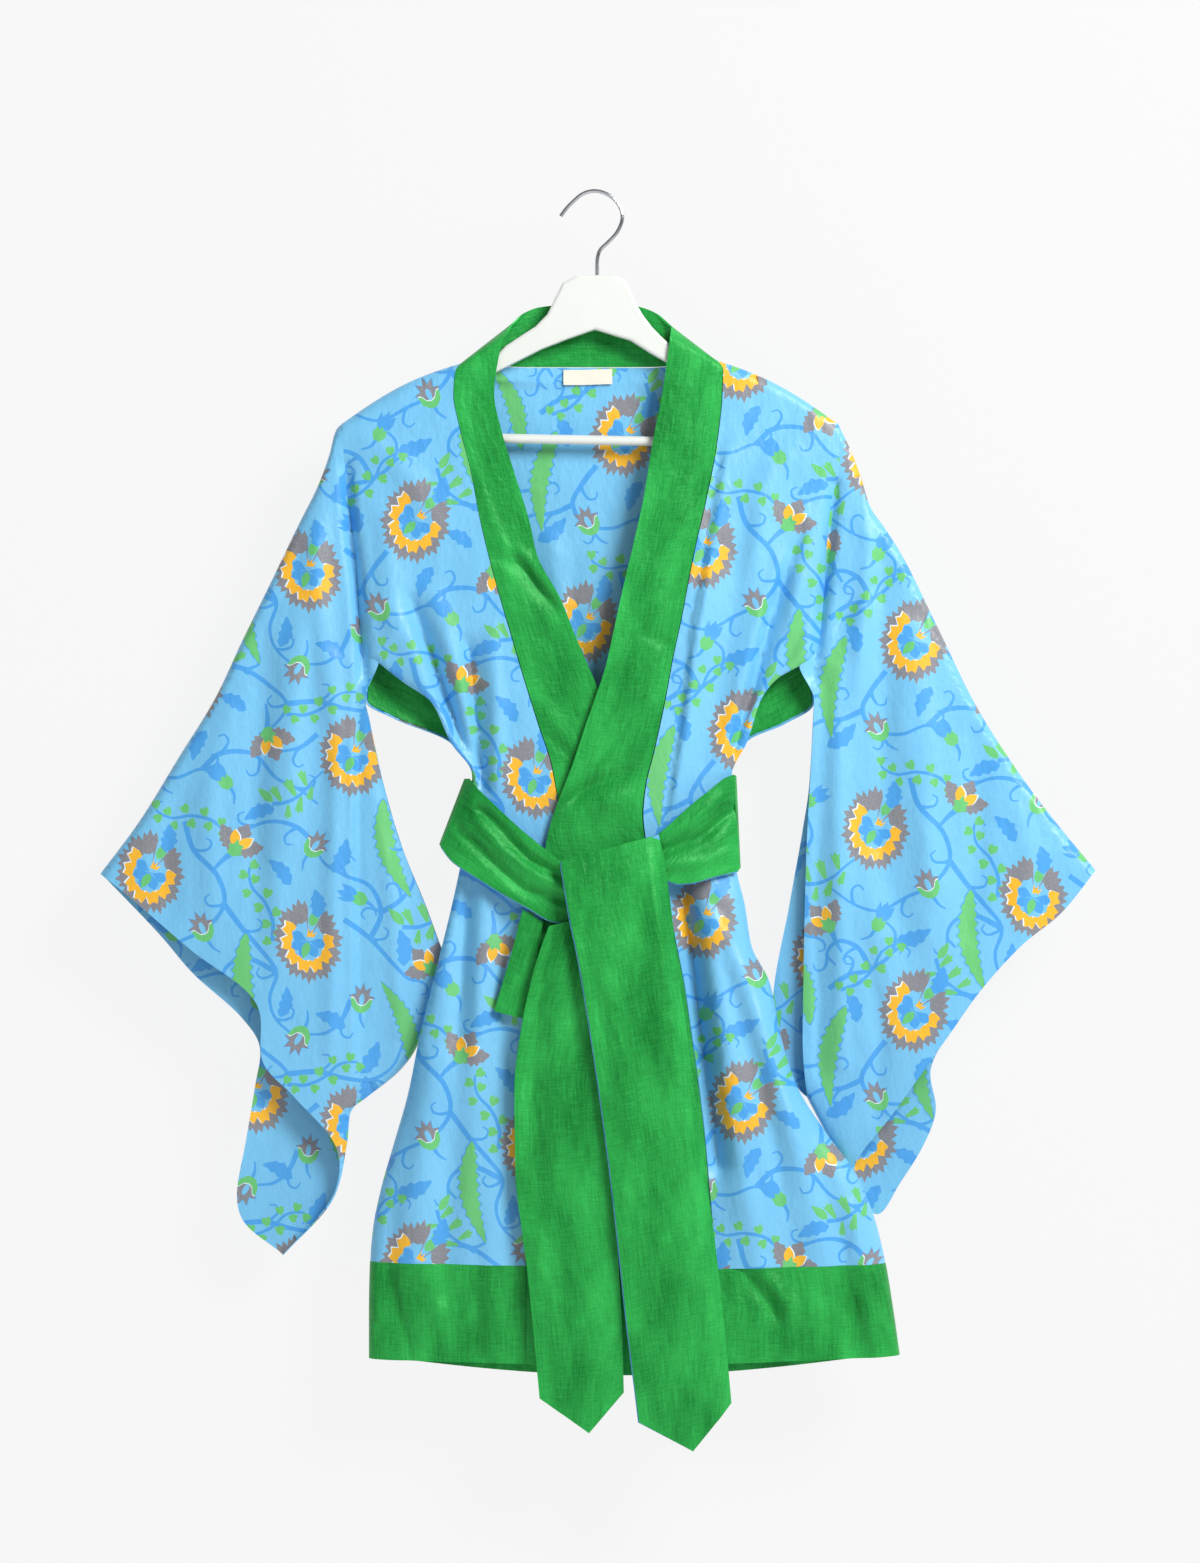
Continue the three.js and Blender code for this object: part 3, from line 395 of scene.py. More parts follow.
@dataclass(frozen=True)
class FlowerHead:
    """A large flower: grey toothed petals, an orange ring, blue heart petals and a bud in its opening."""

    across: float = 31.0
    high: float = 38.0
    opening: float = 58.0
    petals: int = 10
    inner_petals: int = 7

    def shapes(self) -> list[Shape]:
        """Returns the flower's patches from the lowest to the topmost."""
        rx, ry, at = self.across, self.high, self.opening
        outer = ring_line(toothed(self.petals, 3, 1.06, 0.9, 0.82), at + 15, 330, rx, ry)
        grey = Shape(Ink.GREY, np.concatenate([outer, ring_line([0.26] * 3, at - 15, 30, rx, ry)]))
        teeth = ring_line(toothed(self.inner_petals, 2, 0.84, 0.73, 0.6), at + 62, 245, rx, ry)
        inside = ring_line([0.42, 0.5] * 7, at + 62, 245, rx, ry)[::-1]
        orange = Shape(Ink.ORANGE, np.concatenate([teeth, inside]))
        heart = ring_line([0.50, 0.44, 0.50, 0.45] * 5 + [0.50], at + 20, 320, rx, ry)
        ground = Shape(Ink.GROUND, np.concatenate([heart, ring_line([0.14] * 3, at - 12, 24, rx, ry)]))
        found = [grey, orange.shifted(Ink.BARE, -1.1, 0.9), orange, ground]
        for turn in (-100, -52, -4, 46, 96):
            petal = drop_line(0.48 * (rx + ry) / 2, 9.5, belly=0.66)
            found.append(Shape(Ink.VINE, petal).placed(0, 0, at + 180 - 90 + turn))
        bud = ring_line([0.20, 0.36, 0.22, 0.34, 0.20, 0.33, 0.18, 0.12, 0.12], at - 42, 84, rx, ry)
        found.append(Shape(Ink.ORANGE, bud))
        found.append(Shape(Ink.LEAF, drop_line(16, 8)).placed(0, -1, at + 90))
        tail = drop_line(17, 9)
        lift = np.array([math.cos(math.radians(at)) * rx, math.sin(math.radians(at)) * ry])
        found.append(Shape(Ink.LEAF, tail).placed(lift[0] * 0.38, lift[1] * 0.38, at - 90))
        found.append(saw_leaf(26, 15, 4, 2, Ink.VINE).placed(lift[0] * 1.02, lift[1] * 0.98, at - 66))
        return found


@dataclass(frozen=True)
class FanFlower:
    """A middle-sized flower: three grey petals in a fan, two orange ones and a green cup on a stalk."""

    length: float = 27.0

    def shapes(self) -> list[Shape]:
        """Returns the flower's patches, its stalk to the lower left."""
        found = [stroke([(0, -2), (-5, -14), (-8, -27)], 6.0, Ink.VINE, taper=True)]
        for turn, width in ((58, 17), (2, 19), (-56, 17)):
            petal = saw_leaf(self.length, width, 5, 0, Ink.GREY)
            away = math.radians(turn + 90)
            found.append(petal.placed(math.cos(away) * 13, math.sin(away) * 13, turn))
        for turn in (30, -28):
            petal = Shape(Ink.ORANGE, drop_line(19, 9.5, belly=0.55)).placed(0, 0, turn)
            found += [petal.shifted(Ink.BARE, 0.9, 0.8), petal]
        cup = ring_line([1.0, 0.72, 1.1, 0.7, 1.25, 0.7, 1.1, 0.72, 1.0, 0.8, 0.8], -10, 290, 7.5, 8.5)
        return [*found, Shape(Ink.LEAF, cup)]


@dataclass(frozen=True)
class CrownBud:
    """A small grey crown of points round a pale eye, in a green cup."""

    points: int = 5

    def shapes(self) -> list[Shape]:
        """Returns the bud's patches, its crown up."""
        radii = [0.62] + [share for _ in range(self.points) for share in (1.12, 0.66)]
        base = [[-8, -4], [0, -7], [8, -4]]
        crown = Shape(Ink.GREY, np.concatenate([ring_line(radii, -8, 196, 11, 14.5), base]))
        rim = [[-10.5, 1], [-7.5, 0.5], [-4, -5], [0, -6.5], [4, -5], [7.5, 0.5], [10.5, 1]]
        bowl = [[9, -7], [4.5, -12], [0, -13.5], [-4.5, -12], [-9, -7]]
        cup = Shape(Ink.LEAF, np.array([*rim, *bowl], float))
        eye = Shape(Ink.GROUND, ring_line([1.0] * 9, 0, 320, 2.6, 6.0))
        stalk = stroke([(0, -12), (1.5, -20), (6, -27)], 3.6, Ink.VINE, taper=True)
        return [stalk, crown.grown(Ink.VINE, 1.1), crown, cup.shifted(Ink.BARE, 0, 0.9), cup, eye]


@dataclass(frozen=True)
class CupBud:
    """A slim bud: a few blue points in a green cup."""

    ink: Ink = Ink.VINE

    def shapes(self) -> list[Shape]:
        """Returns the bud's patches, its points up."""
        bell = [[-4.5, 0], [-8, 9], [-7.5, 17], [-4.6, 12.5], [-1.5, 20], [2, 13.5], [6.5, 18], [7.5, 9],
                [4.5, 0]]
        cup = [[-5, 3.5], [-2.5, 1], [0, 4.5], [2.5, 1], [5, 3.5], [6.5, -4], [3, -9.5], [-3, -9.5],
               [-6.5, -4]]
        stalk = stroke([(0, -9), (-2, -17), (-8, -23)], 3.6, Ink.VINE, taper=True)
        return [stalk, Shape(self.ink, np.array(bell, float)), Shape(Ink.LEAF, np.array(cup, float))]


@dataclass(frozen=True)
class HeartRow:
    """A curling stalk with small heart-shaped leaves on both sides."""

    line: tuple[tuple[float, float], ...] = (
        (0, -38), (7, -20), (6, 0), (-1, 18), (2, 34), (10, 38), (13, 31),
    )
    pairs: int = 5

    def shapes(self) -> list[Shape]:
        """Returns the stalk and its leaves."""
        stalk = stroke(self.line, 4.0, Ink.VINE, taper=True)
        lobe = [[0, -1], [-4.4, 3.6], [-4.6, 8], [-2.2, 9.6], [0, 8]]
        heart = np.array([*lobe, *[[-x, z] for x, z in lobe[3:0:-1]]], float)
        knots = np.array(self.line[:5], float)
        where = np.linspace(0.1, len(knots) - 1.1, self.pairs)
        found = [stalk]
        for k, at in enumerate(where):
            i = int(at)
            point = knots[i] + (knots[i + 1] - knots[i]) * (at - i)
            way = knots[i + 1] - knots[i]
            lean = math.degrees(math.atan2(way[1], way[0])) - 90
            for side in (-1, 1):
                place = point + np.array([side * 2.4, 3.5 * side])
                found.append(Shape(Ink.LEAF, heart).placed(*place, lean - side * 62, 0.92 + 0.05 * (k % 3)))
        return found


@dataclass(frozen=True)
class Fern:
    """A bent stalk with pairs of leaflets that end in teeth."""

    def shapes(self) -> list[Shape]:
        """Returns the stalk and its leaflets."""
        leaflet = np.array([[-1.5, 0], [-3.6, 9], [-4.8, 17], [-2, 15], [0.4, 18.5], [2.6, 14.5], [4.6, 16],
                            [3.2, 8], [1.5, 0]], float)
        found = [stroke([(-30, -6), (-14, -9), (2, -6), (16, 2), (30, 8)], 4.4, Ink.VINE, taper=True)]
        for x, z, turn, size in ((-20, -6, 14, 1.0), (-5, -6, 8, 1.1), (9, 0, 2, 0.95), (-15, -12, 160, 0.8),
                                 (0, -9, 150, 0.95), (14, -3, 146, 0.8)):
            found.append(Shape(Ink.LEAF, leaflet).placed(x, z, turn, size))
        found.append(Shape(Ink.LEAF, drop_line(22, 9)).placed(-28, -4, 30))
        return found


class Motif(Enum):
    """The kinds of motif, by what a block cutter would call them."""

    FLOWER = "flower head"
    FAN = "fan flower"
    CROWN = "crown bud"
    CUP = "cup bud"
    HEARTS = "heart row"
    FERN = "fern"
    LONG_LEAF = "long leaf"
    BLUE_LEAF = "blue leaf"


@dataclass(frozen=True)
class BlockPrint:
    """The repeat of the print.

    Args:
        width, height: of one block.
        vine_width: of the stalks that join the motifs.
        stands: each kind's places in the block, as x, z, turn and size, the lowest kind first.
        vines: the lines of the stalks.
    """

    width: float = 300.0
    height: float = 340.0
    vine_width: float = 5.2
    stands: tuple[tuple[Motif, tuple[tuple[float, float, float, float], ...]], ...] = (
        (Motif.BLUE_LEAF, ((236, 290, -22, 1.0), (180, 276, 40, 0.9), (96, 176, -70, 1.0),
                           (40, 112, 20, 0.9), (226, 140, 64, 0.9), (262, 104, -30, 1.0),
                           (136, 92, 60, 0.85), (30, 20, -50, 1.0), (160, 330, 110, 0.9),
                           (292, 206, 6, 1.0), (184, 156, -12, 0.85), (104, 52, 156, 0.9),
                           (290, 14, 130, 0.9))),
        (Motif.FERN, ((18, 236, 12, 0.95), (132, 136, -62, 0.85), (196, 12, 20, 0.9))),
        (Motif.HEARTS, ((160, 246, 20, 0.95), (54, 150, -48, 0.9), (218, 92, -70, 0.9), (96, 322, 76, 0.9))),
        (Motif.CUP, ((250, 252, 66, 1.0), (64, 190, -28, 1.0), (128, 20, 40, 1.0), (2, 302, -60, 0.95))),
        (Motif.CROWN, ((108, 224, 24, 1.0), (254, 158, -8, 0.95), (196, 122, 150, 1.0),
                       (212, 300, -40, 0.95), (62, 28, 30, 1.0))),
        (Motif.LONG_LEAF, ((150, 172, 188, 1.0), (282, 296, 196, 1.0), (22, 66, 172, 1.0),
                           (290, 136, 20, 0.9))),
        (Motif.FAN, ((138, 296, -30, 1.0), (18, 186, 42, 0.96), (168, 62, -160, 1.0))),
        (Motif.FLOWER, ((60, 275, 0, 1.0), (205, 212, 14, 1.0), (96, 108, -12, 1.02), (246, 42, 8, 0.98))),
    )
    vines: tuple[tuple[tuple[float, float], ...], ...] = (
        ((92, 322), (100, 296), (122, 272), (128, 246), (112, 224), (88, 212), (64, 200), (40, 206),
         (18, 222)),
        ((128, 246), (146, 222), (160, 206), (176, 184), (170, 160), (176, 140), (196, 122)),
        ((176, 184), (150, 196), (132, 190), (126, 176), (134, 166)),
        ((238, 232), (262, 214), (284, 190), (300, 176), (318, 186)),
        ((262, 214), (272, 238), (262, 262), (240, 272), (220, 284), (212, 300)),
        ((272, 238), (290, 250), (302, 268), (296, 290)),
        ((122, 126), (146, 122), (168, 108), (186, 90), (176, 72), (160, 62)),
        ((186, 90), (214, 92), (238, 86), (262, 84), (282, 96), (292, 118)),
        ((262, 84), (276, 64), (296, 56), (318, 62), (330, 80)),
        ((18, 128), (34, 140), (56, 146), (74, 160), (78, 180), (64, 194)),
        ((56, 146), (44, 166), (26, 172), (16, 160), (24, 150)),
        ((70, 80), (56, 62), (48, 44), (60, 26), (84, 22), (108, 30), (128, 18)),
        ((48, 44), (30, 36), (10, 34), (-6, 22), (-10, 6)),
        ((108, 30), (124, 44), (146, 46), (160, 40), (176, 22), (196, 12), (214, -2)),
        ((214, 62), (198, 50), (180, 46)),
        ((212, 300), (196, 316), (176, 322), (156, 318), (140, 306)),
        ((244, 158), (236, 140), (222, 128), (204, 126)),
    )

    def motif(self, kind: Motif) -> list[Shape]:
        """Returns one motif's patches round its own origin."""
        if kind is Motif.LONG_LEAF:
            leaf = saw_leaf(94, 18, 11, 9, Ink.LEAF)
            return [Shape(Ink.VINE, saw_leaf(97, 20.5, 11, 9, Ink.VINE).outline), leaf]
        if kind is Motif.BLUE_LEAF:
            return [saw_leaf(34, 15, 4, 3, Ink.VINE)]
        makers = {
            Motif.FLOWER: FlowerHead,
            Motif.FAN: FanFlower,
            Motif.CROWN: CrownBud,
            Motif.CUP: CupBud,
            Motif.HEARTS: HeartRow,
            Motif.FERN: Fern,
        }
        return makers[kind]().shapes()

    def block(self) -> list[Shape]:
        """Returns all patches of one repeat, the vines lowest."""
        found = [stroke(line, self.vine_width, Ink.VINE, taper=True) for line in self.vines]
        for line in self.vines:
            found += self._tendrils(line)
        for kind, places in self.stands:
            for place in places:
                found += [shape.placed(*place) for shape in self.motif(kind)]
        return found

    @staticmethod
    def _tendrils(line: Sequence[tuple[float, float]]) -> list[Shape]:
        """Returns the short curled shoots of a vine, on its two sides in turn."""
        found = []
        for k in range(1, len(line) - 1, 2):
            way = math.degrees(math.atan2(line[k + 1][1] - line[k][1], line[k + 1][0] - line[k][0]))
            side = 1 if k % 4 == 1 else -1
            bends = [(0, 0), (5, 4 * side), (9, 11 * side), (6, 17 * side), (0, 16 * side)]
            found.append(stroke(bends, 3.4, Ink.VINE, taper=True).placed(*line[k], way))
        return found

    def over(self, low: Array, high: Array, shift: tuple[float, float]) -> list[Shape]:
        """Repeats the block over a region.

        Args:
            low: the region's lowest x and z.
            high: its highest.
            shift: where a block's corner lies.

        Returns:
            Every patch whose box meets the region.
        """
        found = []
        size = np.array([self.width, self.height])
        base = self.block()
        first = np.floor((low - shift) / size).astype(int) - 1
        last = np.ceil((high - shift) / size).astype(int) + 1
        for row in range(first[1], last[1]):
            for column in range(first[0], last[0]):
                move = np.array(shift) + size * (column, row)
                for shape in base:
                    moved = shape.outline + move
                    if (moved.max(0) > low).all() and (moved.min(0) < high).all():
                        found.append(Shape(shape.ink, moved))
        return found


# ---------- finishes
def linear(colour: Sequence[float]) -> tuple[float, float, float, float]:
    """Turns a colour of 0 to 255 as it looks into light values, with full alpha."""
    shares = [c / 255 for c in colour]
    return (*[c / 12.92 if c <= 0.04045 else ((c + 0.055) / 1.055) ** 2.4 for c in shares], 1.0)


class Value:
    """A number that varies over a surface, with the usual arithmetic.

    Args:
        paint: the paint it belongs to.
        socket: where it comes out.
    """

    def __init__(self, paint: Paint, socket: bpy.types.NodeSocket) -> None:
        """Keeps the socket."""
        self.paint = paint
        self.socket = socket

    def _math(self, operation: str, *values: Any) -> Value:
        """Adds a Math node."""
        made = self.paint.node("ShaderNodeMath", {"operation": operation}, dict(enumerate(values)))
        return Value(self.paint, made.outputs[0])

    def __add__(self, other: Any) -> Value:
        """Returns self + other."""
        return self._math("ADD", self, other)

    def __sub__(self, other: Any) -> Value:
        """Returns self - other."""
        return self._math("SUBTRACT", self, other)

    def __rsub__(self, other: Any) -> Value:
        """Returns other - self."""
        return self._math("SUBTRACT", other, self)

    def __mul__(self, other: Any) -> Value:
        """Returns self * other."""
        return self._math("MULTIPLY", self, other)

    def clamped(self, low: float = 0.0, high: float = 1.0) -> Value:
        """Returns the value held between two limits."""
        return self._math("MINIMUM", self._math("MAXIMUM", self, low), high)

    __radd__ = __add__
    __rmul__ = __mul__


class Paint:
    """Builds one material.

    Args:
        name: the material's name.
    """

    def __init__(self, name: str) -> None:
        """Starts with the plain surface shader."""
        self.material = bpy.data.materials.new(name)
        self.material.use_nodes = True
        self.tree = self.material.node_tree
        self.shader = self.tree.nodes["Principled BSDF"]

    def node(
        self, kind: str, settings: dict[str, Any] | None = None, inputs: dict[Any, Any] | None = None
    ) -> Any:
        """Adds a node.

        Args:
            kind: the node's type.
            settings: its own settings, set first. A ramp's are its stops.
            inputs: values or links for its sockets, by name or number.

        Returns:
            The node.
        """
        made = self.tree.nodes.new(kind)
        for key, value in (settings or {}).items():
            if key == "stops":
                self._stops(made.color_ramp, value)
            else:
                setattr(made, key, value)
        for key, value in (inputs or {}).items():
            self.put(made.inputs[key], value)
        return made

    @staticmethod
    def _stops(ramp: bpy.types.ColorRamp, stops: Sequence[tuple[float, Sequence[float]]]) -> None:
        """Sets a ramp's stops."""
        while len(ramp.elements) < len(stops):
            ramp.elements.new(0.5)
        for element, (place, colour) in zip(ramp.elements, stops):
            element.position = place
            element.color = colour

    def put(self, socket: bpy.types.NodeSocket, value: Any) -> None:
        """Links a value to a socket, or sets the socket."""
        if isinstance(value, Value):
            self.tree.links.new(value.socket, socket)
        elif isinstance(value, bpy.types.NodeSocket):
            self.tree.links.new(value, socket)
        else:
            socket.default_value = value

    def surface(self, **sockets: Any) -> None:
        """Sets the surface shader's sockets, underscores standing for spaces."""
        for key, value in sockets.items():
            self.put(self.shader.inputs[key.replace("_", " ")], value)

    def cloth_place(self, across: float, along: float) -> bpy.types.NodeSocket:
        """Returns the place on the cloth in metres, scaled across and along."""
        spot = self.node("ShaderNodeUVMap", {"uv_map": "Cloth"}).outputs[0]
        return self._scaled(spot, (across, along, 1.0))

    def solid_place(self, *scale: float) -> bpy.types.NodeSocket:
        """Returns the place in a solid piece in metres, scaled along x, y and z."""
        return self._scaled(self.node("ShaderNodeTexCoord").outputs["Object"], scale)

    def _scaled(self, place: bpy.types.NodeSocket, scale: tuple[float, ...]) -> bpy.types.NodeSocket:
        """Returns the place times the scale."""
        return self.node("ShaderNodeVectorMath", {"operation": "MULTIPLY"}, {0: place, 1: scale}).outputs[0]

    def noise(self, place: bpy.types.NodeSocket, detail: float = 2.0, rough: float = 0.5) -> Value:
        """Returns soft noise of about one blotch to a unit of the place."""
        made = self.node("ShaderNodeTexNoise", None,
                         {"Vector": place, "Scale": 1.0, "Detail": detail, "Roughness": rough})
        return Value(self, made.outputs["Fac"])

    def blend(self, share: Any, one: Any, other: Any, how: str = "MIX") -> bpy.types.NodeSocket:
        """Returns a mix of two colours."""
        made = self.node("ShaderNodeMix", {"data_type": "RGBA", "blend_type": how},
                         {0: share, 6: one, 7: other})
        return made.outputs[2]

    def relief(self, height: Value, strength: float, depth: float) -> bpy.types.NodeSocket:
        """Returns normals that follow a height.

        Args:
            height: from 0 to 1.
            strength: how much of it shows.
            depth: the height of 1, in millimetres.

        Returns:
            The normals.
        """
        made = self.node("ShaderNodeBump", None,
                         {"Height": height, "Strength": strength, "Distance": depth * MM})
        return made.outputs[0]


class Finish:
    """What a piece is made of, as one material that its pieces share."""

    slot: str = ""
    name: str = ""
    _made: dict[str, bpy.types.Material] = {}

    def material(self) -> bpy.types.Material:
        """Returns the material, built the first time it is asked for."""
        if self.name not in Finish._made:
            paint = Paint(self.name)
            self.dress(paint)
            Finish._made[self.name] = paint.material
        return Finish._made[self.name]

    def dress(self, paint: Paint) -> None:
        """Builds the nodes."""
        raise NotImplementedError


@dataclass(frozen=True)
class PrintedSilk(Finish):
    """Light printed silk: inks on the cloth, a crisp fine weave and a soft lustre."""

    slot: str = "printSilk"
    name: str = "printed_silk"
    lustre: float = 0.34

    def dress(self, paint: Paint) -> None:
        """Builds the nodes."""
        inks = paint.node("ShaderNodeVertexColor", {"layer_name": "Print"}).outputs["Color"]
        blotch = paint.noise(paint.cloth_place(24, 18), 3)
        threads = paint.noise(paint.cloth_place(1300, 120), 2)
        wefts = paint.noise(paint.cloth_place(150, 1500), 2)
        crinkle = paint.noise(paint.cloth_place(260, 190), 3, 0.6)
        crumple = paint.noise(paint.cloth_place(42, 20), 3, 0.55)
        weave = threads * 0.5 + wefts * 0.5
        paler = paint.blend((weave * 1.8 - 0.4).clamped(), (0.9, 0.92, 0.94, 1), (1.08, 1.06, 1.05, 1))
        cloud = paint.blend((blotch * 2.0 - 0.5).clamped(), (0.95, 0.965, 0.98, 1), (1.05, 1.03, 1.01, 1))
        toned = paint.blend(1.0, paint.blend(1.0, inks, paler, "MULTIPLY"), cloud, "MULTIPLY")
        vivid = Value(paint, paint.node("ShaderNodeSeparateColor", {"mode": "HSV"}, {0: inks}).outputs[1])
        specks = paint.noise(paint.cloth_place(900, 700), 2, 0.7)
        bare = ((0.2 - vivid) * 8).clamped() * (specks * 5 - 2.3).clamped() * 0.4
        toned = paint.blend(bare, toned, (0.42, 0.47, 0.55, 1))
        paint.surface(
            Base_Color=toned,
            Roughness=(self.lustre + 0.16 * crinkle).clamped(),
            Normal=paint.relief(crumple + crinkle * 0.08 + weave * 0.05, 0.6, 4.0),
            Specular_IOR_Level=0.5,
        )


@dataclass(frozen=True)
class SlubSilk(Finish):
    """Plain silk with uneven threads, its lustre strongest along them, and broad patches of painted sheen and
    shade in its colour.
    """

    slot: str = "greenSilk"
    name: str = "slub_silk"
    # deep and light are the ends of the colour blend. Part of their gap is the silk's uneven colour and part
    # is painted sheen and shade.
    deep: tuple[int, int, int] = (8, 112, 40)
    light: tuple[int, int, int] = (52, 184, 84)

    def dress(self, paint: Paint) -> None:
        """Builds the nodes."""
        slubs = paint.noise(paint.cloth_place(620, 36), 3, 0.6)
        wefts = paint.noise(paint.cloth_place(60, 760), 2)
        grain = paint.noise(paint.cloth_place(900, 900), 1)
        # sweep paints broad patches of sheen and shade into the colour, some 50 mm across.
        sweep = paint.noise(paint.cloth_place(20, 9), 2)
        crumple = paint.noise(paint.cloth_place(30, 22), 4, 0.6)
        threads = slubs * 0.45 + wefts * 0.3 + grain * 0.25
        # The colour runs from deep to light green with the threads, the silk's own uneven colour, and with
        # sweep, painted sheen and shade.
        share = (threads * 2.2 + sweep * 2.0 - 1.6).clamped()
        paint.surface(
            Base_Color=paint.blend(share, linear(self.deep), linear(self.light)),
            Roughness=(0.3 + 0.2 * grain + 0.1 * sweep).clamped(),
            Normal=paint.relief(crumple + threads * 0.06, 0.8, 5.0),
            Specular_IOR_Level=0.5,
            Specular_Tint=(0.35, 1.0, 0.42, 1),
        )


@dataclass(frozen=True)
class LiningSilk(Finish):
    """The printed reverse of the sash, of which only the turned edge shows."""

    slot: str = "greenSilk"
    name: str = "sash_lining"
    colour: tuple[int, int, int] = (104, 184, 236)

    def dress(self, paint: Paint) -> None:
        """Builds the nodes."""
        patches = paint.noise(paint.cloth_place(30, 30), 2)
        threads = paint.noise(paint.cloth_place(900, 200), 2)
        share = (patches * 6 - 3).clamped()
        paint.surface(
            Base_Color=paint.blend(share, linear(self.colour), linear(Ink.VINE.value)),
            Roughness=(0.45 + 0.15 * threads).clamped(),
            Normal=paint.relief(threads, 0.3, 0.2),
        )


@dataclass(frozen=True)
class LabelTape(Finish):
    """Cream woven tape with a close rib."""

    slot: str = "label"
    name: str = "label_tape"
    colour: tuple[int, int, int] = (238, 233, 218)

    def dress(self, paint: Paint) -> None:
        """Builds the nodes."""
        rib = paint.noise(paint.cloth_place(240, 2400), 1)
        speck = paint.noise(paint.cloth_place(1200, 1200), 1)
        # The cream is darker where the rib lies low, which is also where the bump is lowest, and in specks.
        worn = linear([c * 0.93 for c in self.colour])
        paint.surface(
            Base_Color=paint.blend((rib * 0.6 + speck * 0.4).clamped(), worn, linear(self.colour)),
            Roughness=(0.75 + 0.15 * speck).clamped(),
            Normal=paint.relief(rib, 0.5, 0.25),
        )


@dataclass(frozen=True)
class PaintedWood(Finish):
    """Off-white satin paint over smooth wood, with faint brush marks."""

    slot: str = "paint"
    name: str = "painted_wood"
    colour: tuple[int, int, int] = (226, 229, 224)

    def dress(self, paint: Paint) -> None:
        """Builds the nodes."""
        brush = paint.noise(paint.solid_place(14, 420, 420))
        cloud = paint.noise(paint.solid_place(35, 35, 35))
        paint.surface(
            Base_Color=paint.blend(cloud, linear([c * 0.975 for c in self.colour]), linear(self.colour)),
            Roughness=(0.3 + 0.16 * brush).clamped(),
            Normal=paint.relief(brush, 0.12, 0.15),
            Coat_Roughness=0.25,
        )


@dataclass(frozen=True)
class BrightWire(Finish):
    """Polished steel wire with faint drawing lines."""

    slot: str = "chrome"
    name: str = "bright_wire"
    colour: tuple[int, int, int] = (205, 208, 212)

    def dress(self, paint: Paint) -> None:
        """Builds the nodes."""
        lines = paint.noise(paint.solid_place(700, 700, 200))
        paint.surface(
            Base_Color=paint.blend(lines, linear([c * 0.86 for c in self.colour]), linear(self.colour)),
            Metallic=1.0,
            Roughness=(0.1 + 0.14 * lines).clamped(),
            Normal=paint.relief(lines, 0.1, 0.05),
        )


@dataclass(frozen=True)
class Plaster(Finish):
    """The matt white of the wall and the floor. From behind, the wall isn't there."""

    slot: str = ""
    name: str = "plaster"
    white: float = 0.06
    glow: float = 0.87
    one_sided: bool = False

    def dress(self, paint: Paint) -> None:
        """Builds the nodes."""
        paint.surface(Base_Color=(self.white, self.white, self.white * 1.004, 1), Roughness=0.95,
                      Specular_IOR_Level=0.0, Emission_Color=(1, 1, 1, 1), Emission_Strength=self.glow)
        if self.one_sided:
            behind = paint.node("ShaderNodeNewGeometry").outputs["Backfacing"]
            clear = paint.node("ShaderNodeBsdfTransparent")
            both = paint.node("ShaderNodeMixShader", None,
                              {0: behind, 1: paint.shader.outputs[0], 2: clear.outputs[0]})
            out = paint.tree.nodes["Material Output"]
            paint.tree.links.new(both.outputs[0], out.inputs["Surface"])


# ---------- sheets and shells
def smooth_mesh(name: str, points: Array, polygons: list[list[int]]) -> bpy.types.Mesh:
    """Returns a mesh of points in metres, shaded smooth."""
    mesh = bpy.data.meshes.new(name)
    mesh.from_pydata(points.tolist(), [], polygons)
    mesh.polygons.foreach_set("use_smooth", np.ones(len(polygons), bool))
    return mesh


def worn(mesh: bpy.types.Mesh, finish: Finish) -> bpy.types.Object:
    """Makes a mesh an object of the kimono, with its finish."""
    mesh.materials.append(finish.material())
    piece = bpy.data.objects.new(mesh.name, mesh)
    bpy.context.scene.collection.objects.link(piece)
    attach(piece, "root")
    return piece


@dataclass
class Grid:
    """A piece of cloth as rows and columns of points.

    Args:
        points: rows, columns and x, y, z in millimetres.
        normals: where they can't be worked out from the points alone.
        front: whether the normals face the front (-Y) or the back.
    """

    points: Array
    normals: Array | None = None
    front: bool = True

    def __post_init__(self) -> None:
        """Works out the normals."""
        if self.normals is None:
            self.normals = self.turned(self.points, self.front)

    @staticmethod
    def turned(points: Array, front: bool) -> Array:
        """Returns the normals of a grid, most of them facing the named way."""
        down = np.gradient(points, axis=0)
        across = np.gradient(points, axis=1)
        normals = unit(np.cross(down, across))
        faces_front = np.median(normals[..., 1]) < 0
        return normals if faces_front == front else -normals

    @property
    def flat(self) -> Array:
        """The grid as seen from the front, x and z."""
        return self.points[..., [0, 2]]

    def measures(self) -> Array:
        """Returns how far each point lies across and along the cloth, in millimetres."""
        across = np.linalg.norm(np.diff(self.points, axis=1), axis=2)
        along = np.linalg.norm(np.diff(self.points, axis=0), axis=2)
        u = np.concatenate([np.zeros((len(across), 1)), np.cumsum(across, axis=1)], axis=1)
        v = np.concatenate([np.zeros((1, along.shape[1])), np.cumsum(along, axis=0)], axis=0)
        return np.stack([u, v], -1)

    def part(self, row1: int, row2: int, column1: int, column2: int) -> Grid:
        """Returns the rows and columns between these, ends included."""
        cut = (slice(row1, row2 + 1), slice(column1, column2 + 1))
        return Grid(self.points[cut], self.normals[cut], self.front)

    def moved(self, by: float) -> Grid:
        """Returns the grid moved out along its normals."""
        return Grid(self.points + self.normals * by, self.normals, self.front)


